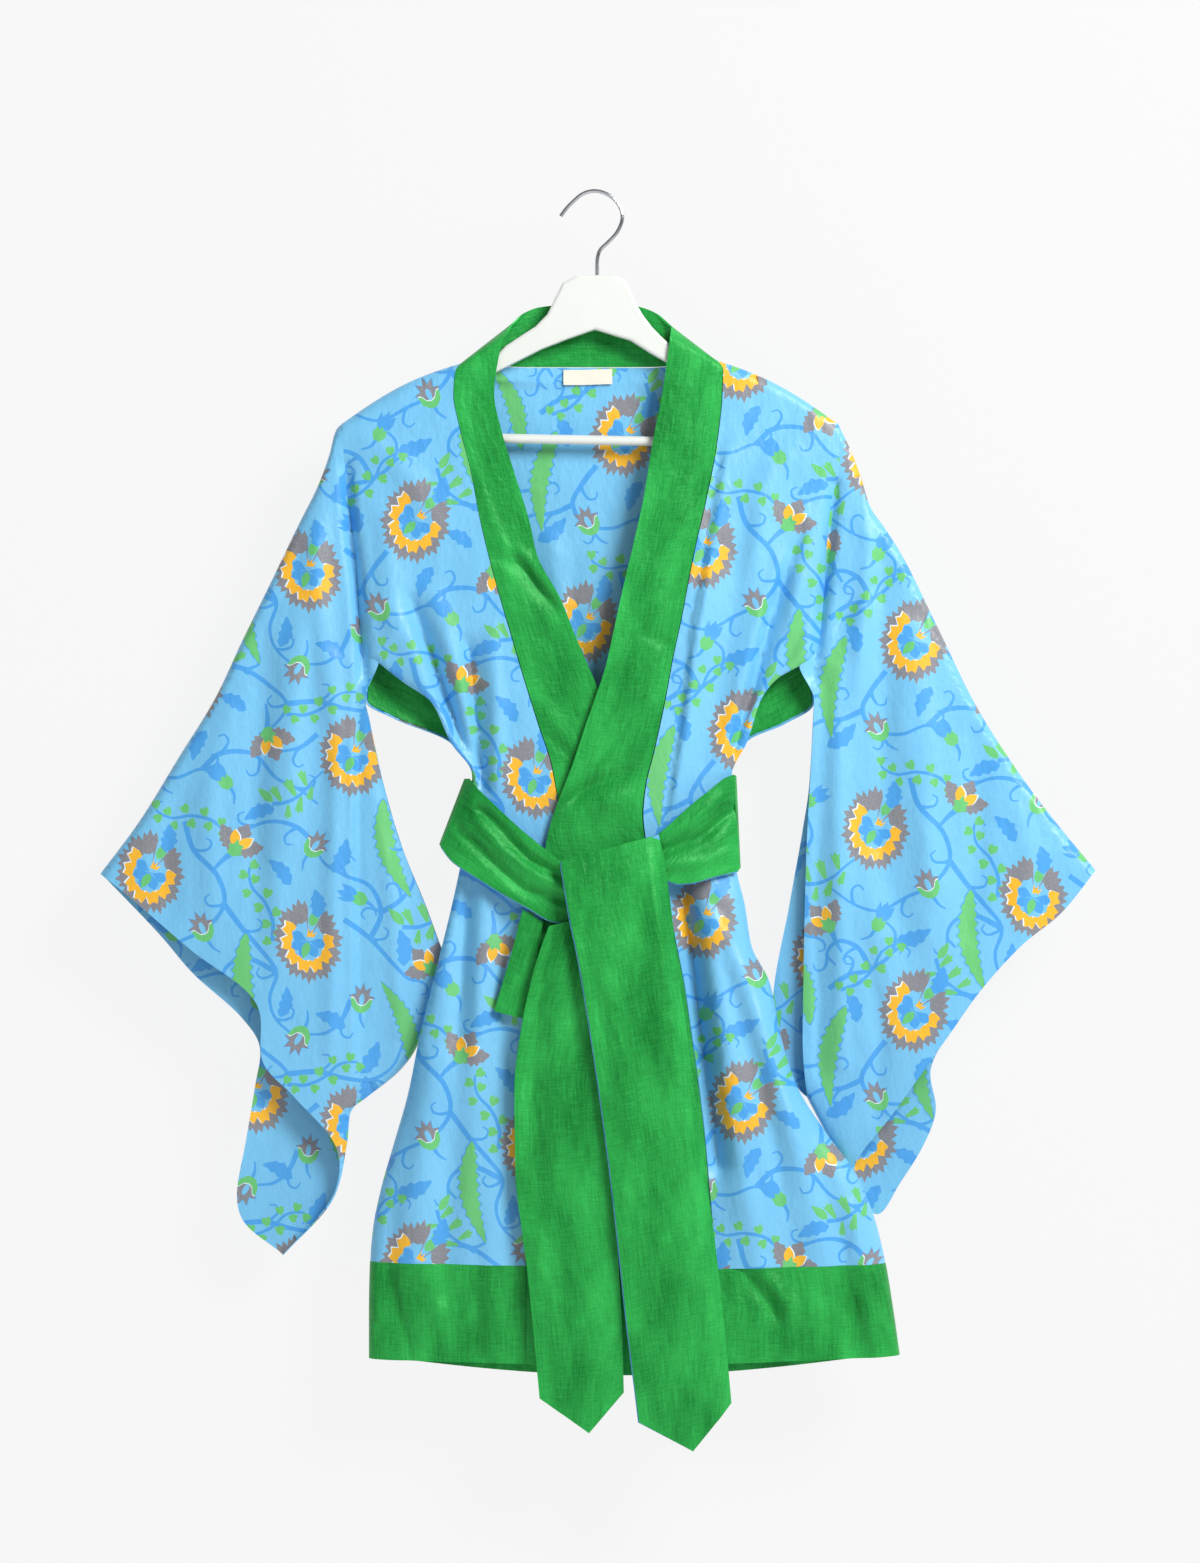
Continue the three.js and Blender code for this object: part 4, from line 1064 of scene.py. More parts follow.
@dataclass
class Layer:
    """One face of a piece of cloth, ready to be given its thickness.

    Args:
        points: in millimetres.
        normals: one for each point.
        faces: corners of each face, turning with the normals.
        places: each point's place on the cloth, in millimetres.
        inks: each face's ink, where the cloth is printed.
    """

    points: Array
    normals: Array
    faces: Array
    places: Array
    inks: Array | None = None

    @classmethod
    def from_grid(cls, grid: Grid) -> Layer:
        """Makes a plain layer of a grid's quads."""
        quads = quads_of(*grid.points.shape[:2])
        points = grid.points.reshape(-1, 3)
        normals = grid.normals.reshape(-1, 3)
        return cls(points, normals, cls.facing(points, normals, quads), grid.measures().reshape(-1, 2))

    @staticmethod
    def facing(points: Array, normals: Array, faces: Array) -> Array:
        """Turns the faces so that they agree with the normals."""
        a, b, c = (points[faces[:, k]] for k in range(3))
        agree = np.einsum("ij,ij->i", np.cross(b - a, c - a), normals[faces[:, 0]]).sum()
        return faces if agree > 0 else faces[:, ::-1]

    def joined(self, other: Layer) -> Layer:
        """Returns both layers as one."""
        inks = None if self.inks is None else np.concatenate([self.inks, other.inks])
        return Layer(
            np.concatenate([self.points, other.points]),
            np.concatenate([self.normals, other.normals]),
            np.concatenate([self.faces, other.faces + len(self.points)]),
            np.concatenate([self.places, other.places]),
            inks,
        )

    def rim(self) -> Array:
        """Returns the edges that only one face has, in the faces' turning."""
        corners = self.faces
        edges = np.stack([corners, np.roll(corners, -1, axis=1)], -1).reshape(-1, 2)
        keys = np.sort(edges, axis=1)
        code = keys[:, 0].astype(np.int64) * (len(self.points) + 1) + keys[:, 1]
        _, first, count = np.unique(code, return_index=True, return_counts=True)
        return edges[first[count == 1]]

    def shell(self, name: str, thickness: float, finish: Finish) -> bpy.types.Object:
        """Gives the layer its thickness and makes it an object of the kimono.

        Args:
            name: the object's name.
            thickness: of the cloth, in millimetres.
            finish: what it is made of.

        Returns:
            The object, which rides on the kimono.
        """
        n = len(self.points)
        half = thickness / 2
        rim = self.rim()
        outer = self.points + self.normals * half
        inner = self.points - self.normals * half
        points = np.concatenate([outer, inner]) * MM
        sides = np.stack([rim[:, 1], rim[:, 0], rim[:, 0] + n, rim[:, 1] + n], -1)
        back = self.faces[:, ::-1] + n
        polygons = [*self.faces.tolist(), *back.tolist(), *sides.tolist()]
        mesh = smooth_mesh(name, points, polygons)
        corners = np.concatenate([self.faces.ravel(), back.ravel(), sides.ravel()])
        self._measure(mesh, corners)
        if self.inks is not None:
            self._ink(mesh, rim)
        out = np.concatenate([self.normals, -self.normals])[corners]
        edge = self.points[rim[:, 1]] - self.points[rim[:, 0]]
        across = unit(np.cross(edge, self.normals[rim[:, 0]]))
        out[-4 * len(rim):] = np.repeat(across, 4, axis=0)
        mesh.normals_split_custom_set(out.tolist())
        return worn(mesh, finish)

    def sewn(
        self, node: str, thickness: float, finish: Finish, flat: tuple[float, float], **cut: Any
    ) -> None:
        """Makes the layer stand for a CAD node: gives it its thickness and hides the node.

        Args:
            node: the CAD node.
            thickness: of the cloth, in millimetres.
            finish: what it is made of.
            flat: not used.
            cut: not used.
        """
        piece = self.shell(f"{node}_cloth", thickness, finish)
        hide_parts(node)
        log.info("%s: %d polygons", piece.name, len(piece.data.polygons))

    def _measure(self, mesh: bpy.types.Mesh, corners: Array) -> None:
        """Writes each corner's place on the cloth, in metres."""
        places = np.concatenate([self.places, self.places])[corners] * MM
        mesh.uv_layers.new(name="Cloth").data.foreach_set("uv", places.ravel())

    def _ink(self, mesh: bpy.types.Mesh, rim: Array) -> None:
        """Writes each face's ink on both sides of the cloth."""
        corners = self.faces.shape[1]
        ground = linear(Ink.GROUND.value)
        inks = [linear(ink.value) for ink in Ink]
        faces = np.repeat(np.array(inks)[self.inks], corners, axis=0)
        edges = np.tile(np.array(ground), (4 * len(rim), 1))
        colours = np.concatenate([faces, faces, edges])
        table = mesh.color_attributes.new(name="Print", type="FLOAT_COLOR", domain="CORNER")
        table.data.foreach_set("color", colours.ravel())


class Printer:
    """Cuts printed cloth: lays the block print on a grid and lifts its patches to the cloth's form.

    Args:
        block: the print's repeat.
        spacing: how far apart the cloth's own points lie between the patches, along and across.
    """

    DOUBT_REACH = 5.0
    RIM_REACH = 0.4
    EVENING_ROUNDS = 400

    def __init__(self, block: BlockPrint, spacing: tuple[float, float] = (6.5, 3.4)) -> None:
        """Keeps the block."""
        self.block = block
        self.spacing = spacing

    def layer(
        self, grid: Grid, shift: tuple[float, float], relief: Callable[[Array, Array], Array] | None = None
    ) -> Layer:
        """Cuts one layer of printed cloth.

        Args:
            grid: the cloth's form.
            shift: where a block's corner lies, in x and z.
            relief: how far the creases move the cloth along y, where the grid lacks them.

        Returns:
            The layer, with its inks.
        """
        flat = grid.flat
        border = np.concatenate([flat[0], flat[1:, -1], flat[-1, -2::-1], flat[-2:0:-1, 0]])
        border = self._thinned(border)
        low, high = border.min(0), border.max(0)
        shapes = self.block.over(low, high, shift)
        step_rows, step_columns = (max(1, round(self.spacing[k] / self._pace(flat, k))) for k in (0, 1))
        inner = flat[2:-2:step_rows, 2:-2:step_columns].reshape(-1, 2)
        places, faces = [border, inner], [list(range(len(border)))]
        count = len(border) + len(inner)
        for shape in shapes:
            places.append(shape.outline)
            corners = list(range(count, count + len(shape.outline)))
            faces.append(corners if self._turning(shape.outline) > 0 else corners[::-1])
            count += len(corners)
        if self._turning(border) < 0:
            faces[0].reverse()
        flat_points = [Vector(p) for p in np.concatenate(places).tolist()]
        found, _, cells, _, _, owners = delaunay_2d_cdt(flat_points, [], faces, 0, 1e-4, True)
        kept = [(cell, max(owner)) for cell, owner in zip(cells, owners) if 0 in owner]
        inks = list(Ink)
        order = [inks.index(Ink.GROUND)] + [inks.index(shape.ink) for shape in shapes]
        corners = np.array([cell for cell, _ in kept])
        used, corners = np.unique(corners, return_inverse=True)
        corners = corners.reshape(-1, 3)
        spots = np.array([found[i] for i in used.tolist()])
        points, normals = self.lifted(grid, spots, corners)
        if relief is not None:
            x, z = spots[:, 0], spots[:, 1]
            over_x, over_z = (relief(x + a, z + b) - relief(x - a, z - b) for a, b in ((0.5, 0), (0, 0.5)))
            lean = np.stack([over_x, 0 * x, over_z], -1)
            points[:, 1] += relief(x, z)
            normals = normals + lean * np.abs(normals[:, 1:2]) * (1 if grid.front else -1)
        faces_out = Layer.facing(points, normals, corners)
        normals = self._evened(points, normals, faces_out)
        return Layer(points, normals, faces_out, spots, np.array([order[top] for _, top in kept]))

    @staticmethod
    def _evened(points: Array, normals: Array, faces: Array) -> Array:
        """Returns the normals brought nearer to those of the triangles round each point."""
        a, b, c = (points[faces[:, k]] for k in range(3))
        wide = np.cross(b - a, c - a)
        own = np.zeros_like(points)
        for k in range(3):
            np.add.at(own, faces[:, k], wide)
        return unit(normals + unit(own) * 1.5)

    @staticmethod
    def _pace(flat: Array, axis: int) -> float:
        """Returns the usual distance between neighbouring points along an axis."""
        return float(np.median(np.linalg.norm(np.diff(flat, axis=axis), axis=2)))

    @staticmethod
    def _thinned(border: Array) -> Array:
        """Leaves out border points that lie on top of the one before."""
        gaps = np.linalg.norm(border - np.roll(border, 1, axis=0), axis=1)
        return border[gaps > 0.05]

    @staticmethod
    def _turning(outline: Array) -> float:
        """Returns the outline's area, negative where it turns clockwise."""
        x, z = outline[:, 0], outline[:, 1]
        return float((x * np.roll(z, -1) - np.roll(x, -1) * z).sum() / 2)

    @staticmethod
    def _twice_area(p: Array, q: Array, r: Array) -> Array:
        """Returns twice the area of flat triangles, negative where they turn clockwise."""
        return (q[:, 0] - p[:, 0]) * (r[:, 1] - p[:, 1]) - (r[:, 0] - p[:, 0]) * (q[:, 1] - p[:, 1])

    @staticmethod
    def lifted(grid: Grid, spots: Array, corners: Array | None = None) -> tuple[Array, Array]:
        """Finds the cloth's point and normal above each flat place.

        Where the grid runs over itself, as beside an inner corner of its outline, the cloth is drawn evenly
        between what lies round that place.

        Args:
            grid: the cloth.
            spots: places in x and z.
            corners: the faces between them, where the cloth may need to be drawn evenly.

        Returns:
            Points and normals.
        """
        rows, columns = grid.points.shape[:2]
        quads = quads_of(rows, columns)
        cells = np.concatenate([quads[:, [0, 1, 2]], quads[:, [0, 2, 3]]])
        flat = grid.flat.reshape(-1, 2)
        area = Printer._twice_area(*(flat[cells[:, k]] for k in range(3)))
        area = area * np.sign(np.median(area))
        turned = cells[area < -1e-3]
        cells = cells[area > 1e-3]
        level = np.concatenate([flat, np.zeros((len(flat), 1))], axis=1).tolist()
        tree = BVHTree.FromPolygons(level, cells.tolist())
        near = [tree.find_nearest((x, z, 0.0)) for x, z in spots.tolist()]
        cell = cells[np.array([hit[2] for hit in near])]
        place = np.array([hit[0][:2] for hit in near])
        p, q, r = (flat[cell[:, k]] for k in range(3))
        area = Printer._twice_area(p, q, r)
        u, v = Printer._twice_area(p, place, r) / area, Printer._twice_area(p, q, place) / area
        weights = np.stack([1 - u - v, u, v], -1)[..., None]
        points = (grid.points.reshape(-1, 3)[cell] * weights).sum(1)
        normals = unit((grid.normals.reshape(-1, 3)[cell] * weights).sum(1))
        if corners is None or len(turned) == 0:
            return points, normals
        tree = BVHTree.FromPolygons(level, turned.tolist())
        reach = Printer.DOUBT_REACH
        doubt = np.array([tree.find_nearest((x, z, 0.0), reach)[3] is not None for x, z in spots.tolist()])
        edge = grid.points[[*range(rows), *[rows - 1] * columns, *range(rows), *[0] * columns],
                           [*[0] * rows, *range(columns), *[columns - 1] * rows, *range(columns)]]
        rim = finder(edge[:, [0, 2]])
        for i in np.flatnonzero(doubt).tolist():
            _, at, gap = rim.find((*spots[i].tolist(), 0.0))
            if gap < Printer.RIM_REACH:
                doubt[i] = False
                points[i, 1] = edge[at, 1]
        pairs = np.concatenate([corners[:, [0, 1]], corners[:, [1, 2]], corners[:, [2, 0]]])
        pairs = np.concatenate([pairs, pairs[:, ::-1]])
        pairs = pairs[doubt[pairs[:, 0]]]
        count = np.bincount(pairs[:, 0], minlength=len(spots))
        for _ in range(Printer.EVENING_ROUNDS):
            total = np.bincount(pairs[:, 0], points[pairs[:, 1], 1], len(spots))
            points[doubt, 1] = total[doubt] / count[doubt]
        normals[doubt] = (0, -1 if grid.front else 1, 0)
        return points, normals


# ---------- the cut, in millimetres
# The fronts from the shoulder ridge to the hem. The columns are named by Col.
FRONT_RIGHT = np.array([
    (-233, -212, 0, 0, -124, -157, 0, -78, -121, 3),
    (-233, -215.5, -5.5, -5.5, -127, -160.5, -5.5, -81, -127, -4.5),
    (-233, -223.5, -7.5, -8, -130, -166.5, -8, -86, -136, -8.5),
    (-231, -255, -8, -9, -131.5, -187, -9, -94, -184, -9),
    (-228, -287, -8, -10, -127, -212, -10, -87, -220, -10),
    (-222, -325, -8, -11, -116, -254, -11, -76, -256, -11),
    (-220, -365, -8, -12, -107, -301, -12, -62, -301, -12),
    (-217.5, -397, -8, -13, -99, -335, -13, -54, -335, -14),
    (-213, -420, -8, -13, -89, -372, -13, -34, -372, -15),
    (-200, -432, -8, -13, -79, -406, -13, -20, -406, -14),
    (-176, -451, -8, -13, -72, -430, -13, -10, -430, -13),
    (-152, -468, -8, -13, -65, -453, -13, 0, -453, -13),
    (-134, -505, -7, -13, -54, -488, -13, 11, -488, -12),
    (-114, -536, -5, -13, -41, -529, -12, 23, -526, -12),
    (-116, -572, -3, -13, -35, -572, -12, 26, -570, -12),
    (-124, -615, -2, -13, -42, -615, -12, 18, -615, -12),
    (-133, -657, -3, -16, -48, -657, -14, 8, -657, -13),
    (-143, -698, -4, -18, -55, -698, -17, 1, -698, -15),
    (-153, -738, -5, -20, -60, -738, -19, -4, -738, -17),
    (-162, -775, -5, -21, -64, -775, -20, -8, -775, -18),
    (-173, -829, -5, -22, -67.5, -829, -21, -11.5, -829, -19),
    (-187, -878, -5, -22, -67.5, -878, -22, -11.5, -878, -20),
    (-198, -917, -5, -22, -67.5, -917, -22, -11.5, -917, -20),
    (-205, -952, -5, -22, -67, -954, -22, -11, -954, -20),
    (-207.5, -982, -5, -22, -65, -985, -22, -10, -985, -20),
    (-208.5, -1028, -5, -21, -65, -1030, -21, -10, -1030, -20),
    (-208.5, -1071, -5, -20, -65, -1075, -20, -10, -1075.5, -20),
])
FRONT_LEFT = np.array([
    (222, -213, 0, 0, 109, -154, 0, 68.5, -123, 3),
    (222.5, -216.5, -5.5, -5.5, 113, -157.5, -5.5, 68, -129, -4.5),
    (223.5, -224.5, -7.5, -8, 116.5, -164, -8, 67, -137, -8.5),
    (223, -256, -8, -9, 115.5, -190, -9, 61, -181, -9),
    (216, -282, -8, -10, 110, -236, -11, 51, -233, -12),
    (212, -315, -8, -11, 101, -282, -13, 43, -282, -15),
    (210.5, -356, -8, -12, 91.5, -324, -15, 33, -327, -17),
    (207.5, -393, -8, -13, 84, -361, -16, 24, -365, -18),
    (203, -420, -8, -14, 78, -393, -17, 16, -402, -19),
    (186, -435, -8, -14, 71, -425, -18, 8, -437, -20),
    (167, -446, -8, -14, 66, -452, -18, -2, -467, -20),
    (152, -464, -8, -14, 61, -478, -18, -11, -493, -20),
    (138, -505, -7, -14, 53, -514, -18, -22, -526, -20),
    (124, -536, -5, -14, 45.5, -545, -18, -33, -554, -20),
    (124, -572, -3, -14, 43, -572, -18, -42, -580, -19),
    (127, -615, -2, -14, 49, -613, -18, -47, -608, -19),
    (136, -655, -3, -18, 66, -655, -19, 4, -655, -18),
    (142, -692, -4, -21, 73.5, -692, -21, 17.5, -692, -19),
    (159, -727, -5, -22, 80.5, -727, -22, 24.5, -727, -20),
    (169, -775, -5, -24, 87.5, -775, -23, 31.5, -775, -21),
    (183.5, -820.5, -5, -24, 94, -820.5, -24, 37, -820.5, -22),
    (209, -862, -5, -24, 99, -863, -24, 42, -863, -22),
    (239, -903.5, -5, -24, 103, -907, -24, 45.5, -907, -22),
    (257, -949, -5, -24, 107, -954, -24, 49, -954, -22),
    (265, -983.5, -5, -24, 109, -988, -24, 51, -989, -22),
    (272, -1026, -5, -23, 111, -1032, -23, 53, -1033, -22),
    (278, -1068, -5, -22, 112, -1075, -22, 54, -1076, -22),
])
# Row, then the back's own right x, z and left x, z between sleeve and sash.
BACK_UNDERARM = np.array([
    (9, -212.5, -441, 201.5, -444),
    (10, -212.5, -467, 200, -470),
    (11, -185, -484, 174, -488),
    (12, -134, -506, 138, -505),
])
# Round the neck, right shoulder to left: seam x, z, y and free x, z, y.
NECK = np.array([
    (-124, -157, 0, -78, -121, 3),
    (-113, -157.3, 4.6, -73, -116, 6.5),
    (-93, -159, 9, -66, -109.5, 10),
    (-61, -160, 12, -52, -104, 13),
    (-34, -160, 13, -29, -102, 14),
    (-8, -160, 13, -8, -102, 14),
    (20, -160, 13, 14, -102, 14),
    (49, -160, 12, 35.5, -103, 13),
    (83, -158, 9, 54, -109.5, 10),
    (97, -156.5, 5.5, 61.5, -116, 7),
    (109, -154, 0, 68.5, -123, 3),
])
# The sash, stretch by stretch: x, z, y of one edge and of the other.
SASH_WAIST = np.array([
    (-117, -539, -11, -143, -601, -11),
    (-121, -539, -4, -144, -599, -4),
    (-120, -540, 8, -137, -603, 6),
    (-107, -541, 17, -122, -614, 16),
    (-70, -542, 21, -78, -624, 21),
    (3, -543, 22, 1.5, -625.5, 22),
    (77, -542, 21, 82, -625.5, 21),
    (113.5, -539, 17, 117, -622, 16),
    (125.5, -537, 8, 129.5, -621, 6),
    (128, -536, -4, 132, -621, -4),
    (126, -535.5, -11, 130.5, -622, -11),
])
SASH_BAND_RIGHT = np.array([
    (-117, -538.5, -11, -143, -600.5, -11),
    (-111, -545.5, -20, -133, -613.5, -20),
    (-93, -563, -27, -111, -628.5, -26),
    (-72, -582.5, -31, -86, -644, -29),
    (-52, -599, -33, -61, -658, -31),
    (-37, -611, -34, -41, -669, -32),
    (-24, -619, -33, -23, -671, -32),
])
SASH_BAND_LEFT = np.array([
    (126, -535, -11, 130.5, -623, -11),
    (116.5, -539, -20, 120, -625.5, -20),
    (106, -547.5, -26, 106, -629, -25),
    (90.5, -559.5, -30, 88, -634, -29),
    (75, -573, -32, 75, -635, -31),
    (63, -584, -33, 65, -632, -32),
    (55, -590.5, -32, 56, -630, -32),
])
SASH_TAIL_FRONT = np.array([
    (-32, -618, -38, 57.5, -596, -38),
    (-32.5, -613.5, -41.5, 56.5, -590.5, -41.5),
    (-31, -624.5, -46, 61, -610, -46),
    (-24.5, -664, -50, 68.5, -664, -50),
    (-16, -705.5, -51, 73, -705.5, -51),
    (-6, -765.5, -49, 81.5, -765.5, -49),
    (3, -826, -47, 89.5, -826, -47),
    (12.5, -897, -46, 98, -890, -46),
    (20.5, -967, -45, 108, -963, -45),
    (27, -1028, -44, 115.5, -1028, -44),
    (39, -1126, -42, 123, -1109.5, -42),
])
SASH_TAIL_REAR = np.array([
    (-43.5, -673.5, -37, -4, -663.5, -38),
    (-52, -696.5, -38, 1.5, -692, -39),
    (-61, -728.5, -38, 6, -728.5, -39),
    (-68.5, -765.5, -38, 8.5, -765.5, -38),
    (-75, -823.5, -37, 11.5, -823.5, -38),
    (-74, -898, -36, 14.5, -898, -37),
    (-68.5, -949.5, -36, 18, -949.5, -36),
    (-63, -991, -35, 20.5, -991, -36),
    (-57.5, -1046, -35, 23.5, -1046, -35),
    (-52, -1105, -34, 25, -1099.5, -34),
])
SASH_FOLD = np.array([
    (-67.5, -658.5, -27, -49, -670, -27),
    (-77.5, -697.5, -28, -55.5, -707.5, -28),
    (-86, -726, -28, -62, -733, -28),
    (-93.5, -751.5, -28, -67.5, -758, -28),
])
# Row, depth of the back at its middle and how far it hangs below a straight line between its sides.
BACK_DROP = np.array([
    (0, 13, 0), (3, 14, 0), (8, 14, 0), (13, 13, 0), (15, 13, 0), (18, 16, 0), (24, 17, 6), (26, 18, 20),
])
FRONT_FOLDS = [
    fold(-166, -385, -118, -532, 11, -4),
    fold(-112, -420, -106, -540, 10, -3.5),
    fold(183, -338, 122, -530, 10, -4),
    fold(108, -220, 70, -540, 9, 3),
    fold(76, -625, 118, -1000, 14, -5),
    fold(-117, -625, -130, -790, 13, -4),
    fold(-95, -700, -125, -980, 16, 3.5),
    fold(120, -760, 190, -980, 18, 4),
]
BACK_FOLDS = [
    fold(-150, -300, -90, -535, 14, 4),
    fold(140, -290, 88, -535, 14, 4),
    fold(0, -330, 4, -535, 16, -3),
    fold(-70, -630, -120, -1000, 18, 5),
    fold(70, -630, 130, -1000, 18, 5),
    fold(2, -640, 4, -1040, 20, -4),
]
SLEEVE_FOLDS = [
    fold(-282, -390, -306, -780, 16, 4),
    fold(270, -400, 320, -690, 16, 4),
    fold(250, -560, 300, -760, 16, -3.5),
]

# Sleeve outlines as x, z. top: the fold along the arm. body: the free edge on the body side. under: the
# bottom fold. cuff: the opening's edge. The back layer hangs lower.
SLEEVE_RIGHT = {
    "top": [(-239, -218), (-246, -243), (-257, -272), (-273, -304), (-299.5, -359), (-325, -411),
            (-351, -466), (-383, -518), (-420, -578), (-456, -626.5)],
    "body": [(-209, -485), (-198, -537), (-180, -600), (-158, -655), (-143.5, -694), (-141, -699)],
    "under": [(-140, -701), (-153, -747), (-167, -788), (-183, -809), (-213, -833), (-226, -844),
              (-230.5, -876), (-243, -926), (-289, -978)],
    "cuff": [(-456, -626.5), (-438, -640), (-374, -695), (-312, -746), (-306, -800), (-278, -831),
             (-239, -879), (-240, -917), (-264, -952), (-289, -978)],
    "cuff_back": [(-456, -626.5), (-402, -683), (-372, -718), (-327, -759), (-310.5, -785),
                  (-315, -824), (-323, -871), (-332, -927), (-325, -949), (-289, -978)],
}
SLEEVE_LEFT = {
    "top": [(234, -238), (243, -262), (252, -290), (264.5, -308), (281, -334), (315, -403),
            (350, -474), (390.5, -537), (427, -585), (458.5, -623)],
    "body": [(199.2, -482), (196, -544), (193, -604), (191, -696), (190, -781), (193.5, -825),
             (194.5, -830.5)],
    "body_back": [(196, -544), (190, -586), (178, -655), (163, -746), (178, -810), (190, -829)],
    "under": [(194.5, -832.5), (210, -862), (231, -900), (247, -936)],
    "cuff": [(458.5, -623), (427, -662), (390.5, -692), (354, -732), (324, -774), (273, -847),
             (237.5, -897), (240, -917), (247, -936)],
    "cuff_back": [(458.5, -623), (427, -662), (390.5, -692), (354, -732), (324, -774), (308, -807),
                  (313, -845.5), (302, -877), (280, -913.5), (261, -941), (247, -936)],
}

# Fine creases, each as its line, width and depth to the front.
RIGHT_CREASES = [
    Crease(((-172, -372), (-168, -382), (-152, -424), (-136, -470), (-118, -525)), 4.5, -15, Form.SHARP, 0.3),
    Crease(((-150, -372), (-136, -412), (-121, -455), (-110, -500)), 9.35, 4.5),
    Crease(((-118, -415), (-113, -466), (-108, -500), (-106, -546)), 4.5, -13, Form.SHARP, 0.4),
    Crease(((-96, -402), (-92, -470), (-92, -540)), 7.65, 3.8),
    Crease(((-190, -345), (-176, -395), (-152, -452)), 11.9, 4.9),
    Crease(((-205, -300), (-196, -340), (-186, -380)), 10.2, -3.8),
    Crease(((-117, -624), (-122, -700), (-128, -779)), 7.65, -7, Form.SHARP),
    Crease(((-104, -622), (-107, -690), (-110, -770), (-114, -830)), 8.5, 4.5),
    Crease(((-86, -655), (-84, -730), (-83, -800)), 7.65, -3.8),
    Crease(((-150, -800), (-160, -900), (-166, -990)), 13.6, 4.9),
    Crease(((-128, -860), (-134, -930), (-138, -1010)), 11.9, -4.9),
    Crease(((-186, -905), (-190, -960), (-192, -1050)), 9.35, -3.8),
    Crease(((-96, -900), (-97, -960), (-96, -1060)), 10.2, 3.8),
    Crease(((-216, -228), (-180, -250), (-150, -300)), 12.75, 3.4),
    Crease(((-200, -300), (-193, -350), (-186, -410)), 10, 4.4),
]
LEFT_CREASES = [
    Crease(((188, -311), (177, -343), (163, -380), (154, -411), (144, -452), (135, -485), (122, -534)),
           4.5, -14, Form.SHARP, 0.3),
    Crease(((172, -338), (156, -376), (138, -440), (126, -485), (117, -532)), 7.65, 5.5),
    Crease(((116, -244), (102, -332), (88, -411), (80, -485), (68, -560)), 10, 8, Form.STEP),
    Crease(((196, -368), (184, -410), (164, -446)), 7.65, -4.5),
    Crease(((134, -300), (126, -380), (112, -450), (98, -520)), 11.05, -3.9),
    Crease(((158, -262), (150, -310), (136, -366)), 11.05, 3.5),
    Crease(((76, -628), (86, -690), (96, -770), (104, -830), (112, -890)), 8, -24, Form.SHARP, 0.5),
    Crease(((98, -650), (112, -748), (126, -860), (140, -932)), 11.9, 4.6),
    Crease(((95, -637), (116, -662), (137, -687)), 6.8, -4.9, Form.SHARP),
    Crease(((104, -640), (128, -706), (160, -800), (186, -900)), 11.9, 5.5),
    Crease(((118, -700), (144, -800), (168, -900), (184, -1000)), 11.05, -5.5),
    Crease(((158, -760), (190, -870), (214, -980)), 12.75, 4.9),
    Crease(((190, -860), (222, -960), (238, -1060)), 11.05, -4.5),
    Crease(((130, -880), (146, -960), (152, -1060)), 11.05, 3.9),
    Crease(((236, -930), (250, -1000), (256, -1062)), 10.2, 3.8),
    Crease(((190, -300), (184, -350), (182, -400)), 10, 4.4),
    Crease(((196, -232), (160, -258), (128, -310)), 16, 3.1),
]
# The groove along each armhole, which the front and the sleeve share.
ARMHOLE_RIGHT = Crease(((-230, -250), (-227, -303), (-220, -360), (-216, -416), (-213, -446)), 5, -12,
                       ends=0.3)
ARMHOLE_LEFT = Crease(((219, -268), (215, -314), (209, -367), (204, -411), (199, -446)), 5, -12, ends=0.3)
BAND_RIGHT_CREASES = [
    Crease(((-74, -338), (-66, -346), (-51, -367), (-38, -380)), 4.5, -7.5, Form.SHARP),
    Crease(((-70, -330), (-56, -348), (-42, -368)), 4, 3),
    Crease(((-99, -338), (-74, -338)), 4, -2.5),
    Crease(((-112, -260), (-98, -300), (-84, -326)), 6, 2.4),
    Crease(((-88, -330), (-60, -336)), 6.8, 1.6),
    Crease(((-72, -400), (-30, -420)), 7.65, -1.9),
    Crease(((-50, -470), (-14, -520)), 6.8, 2.1),
    Crease(((-44, -500), (2, -534)), 5.95, -1.9),
    Crease(((-34, -640), (-38, -760), (-39, -900)), 7.65, -1.8),
    Crease(((-58, -980), (-18, -1010)), 6.8, 1.6),
]
BAND_LEFT_CREASES = [
    Crease(((-28, -562), (-6, -547), (17, -537), (42, -529)), 4.5, -7.5, Form.SHARP),
    Crease(((-20, -574), (6, -560), (34, -552)), 7, 2.6),
    Crease(((44, -405), (60, -412), (80, -423)), 4.5, -3.4),
    Crease(((106, -170), (86, -214), (66, -262)), 6, 2.2),
    Crease(((100, -262), (78, -292), (52, -330)), 7, -2.4),
    Crease(((64, -380), (44, -440), (16, -490)), 7.65, 2.4),
    Crease(((72, -345), (62, -400), (38, -450)), 6.8, -1.9),
    Crease(((30, -480), (2, -520), (-20, -556)), 5.95, -2.4),
    Crease(((96, -226), (74, -290), (68, -330)), 7.65, 1.6),
    Crease(((74, -900), (78, -1000)), 7.65, 1.9),
    Crease(((60, -760), (66, -860)), 7.65, -1.8),
]
HEM_RIGHT_CREASES = [
    Crease(((-190, -992), (-178, -1040), (-170, -1070)), 5.95, -4.5, Form.SHARP),
    Crease(((-150, -996), (-140, -1060)), 7.65, 2.4),
    Crease(((-104, -992), (-112, -1066)), 6.8, -1.9),
]
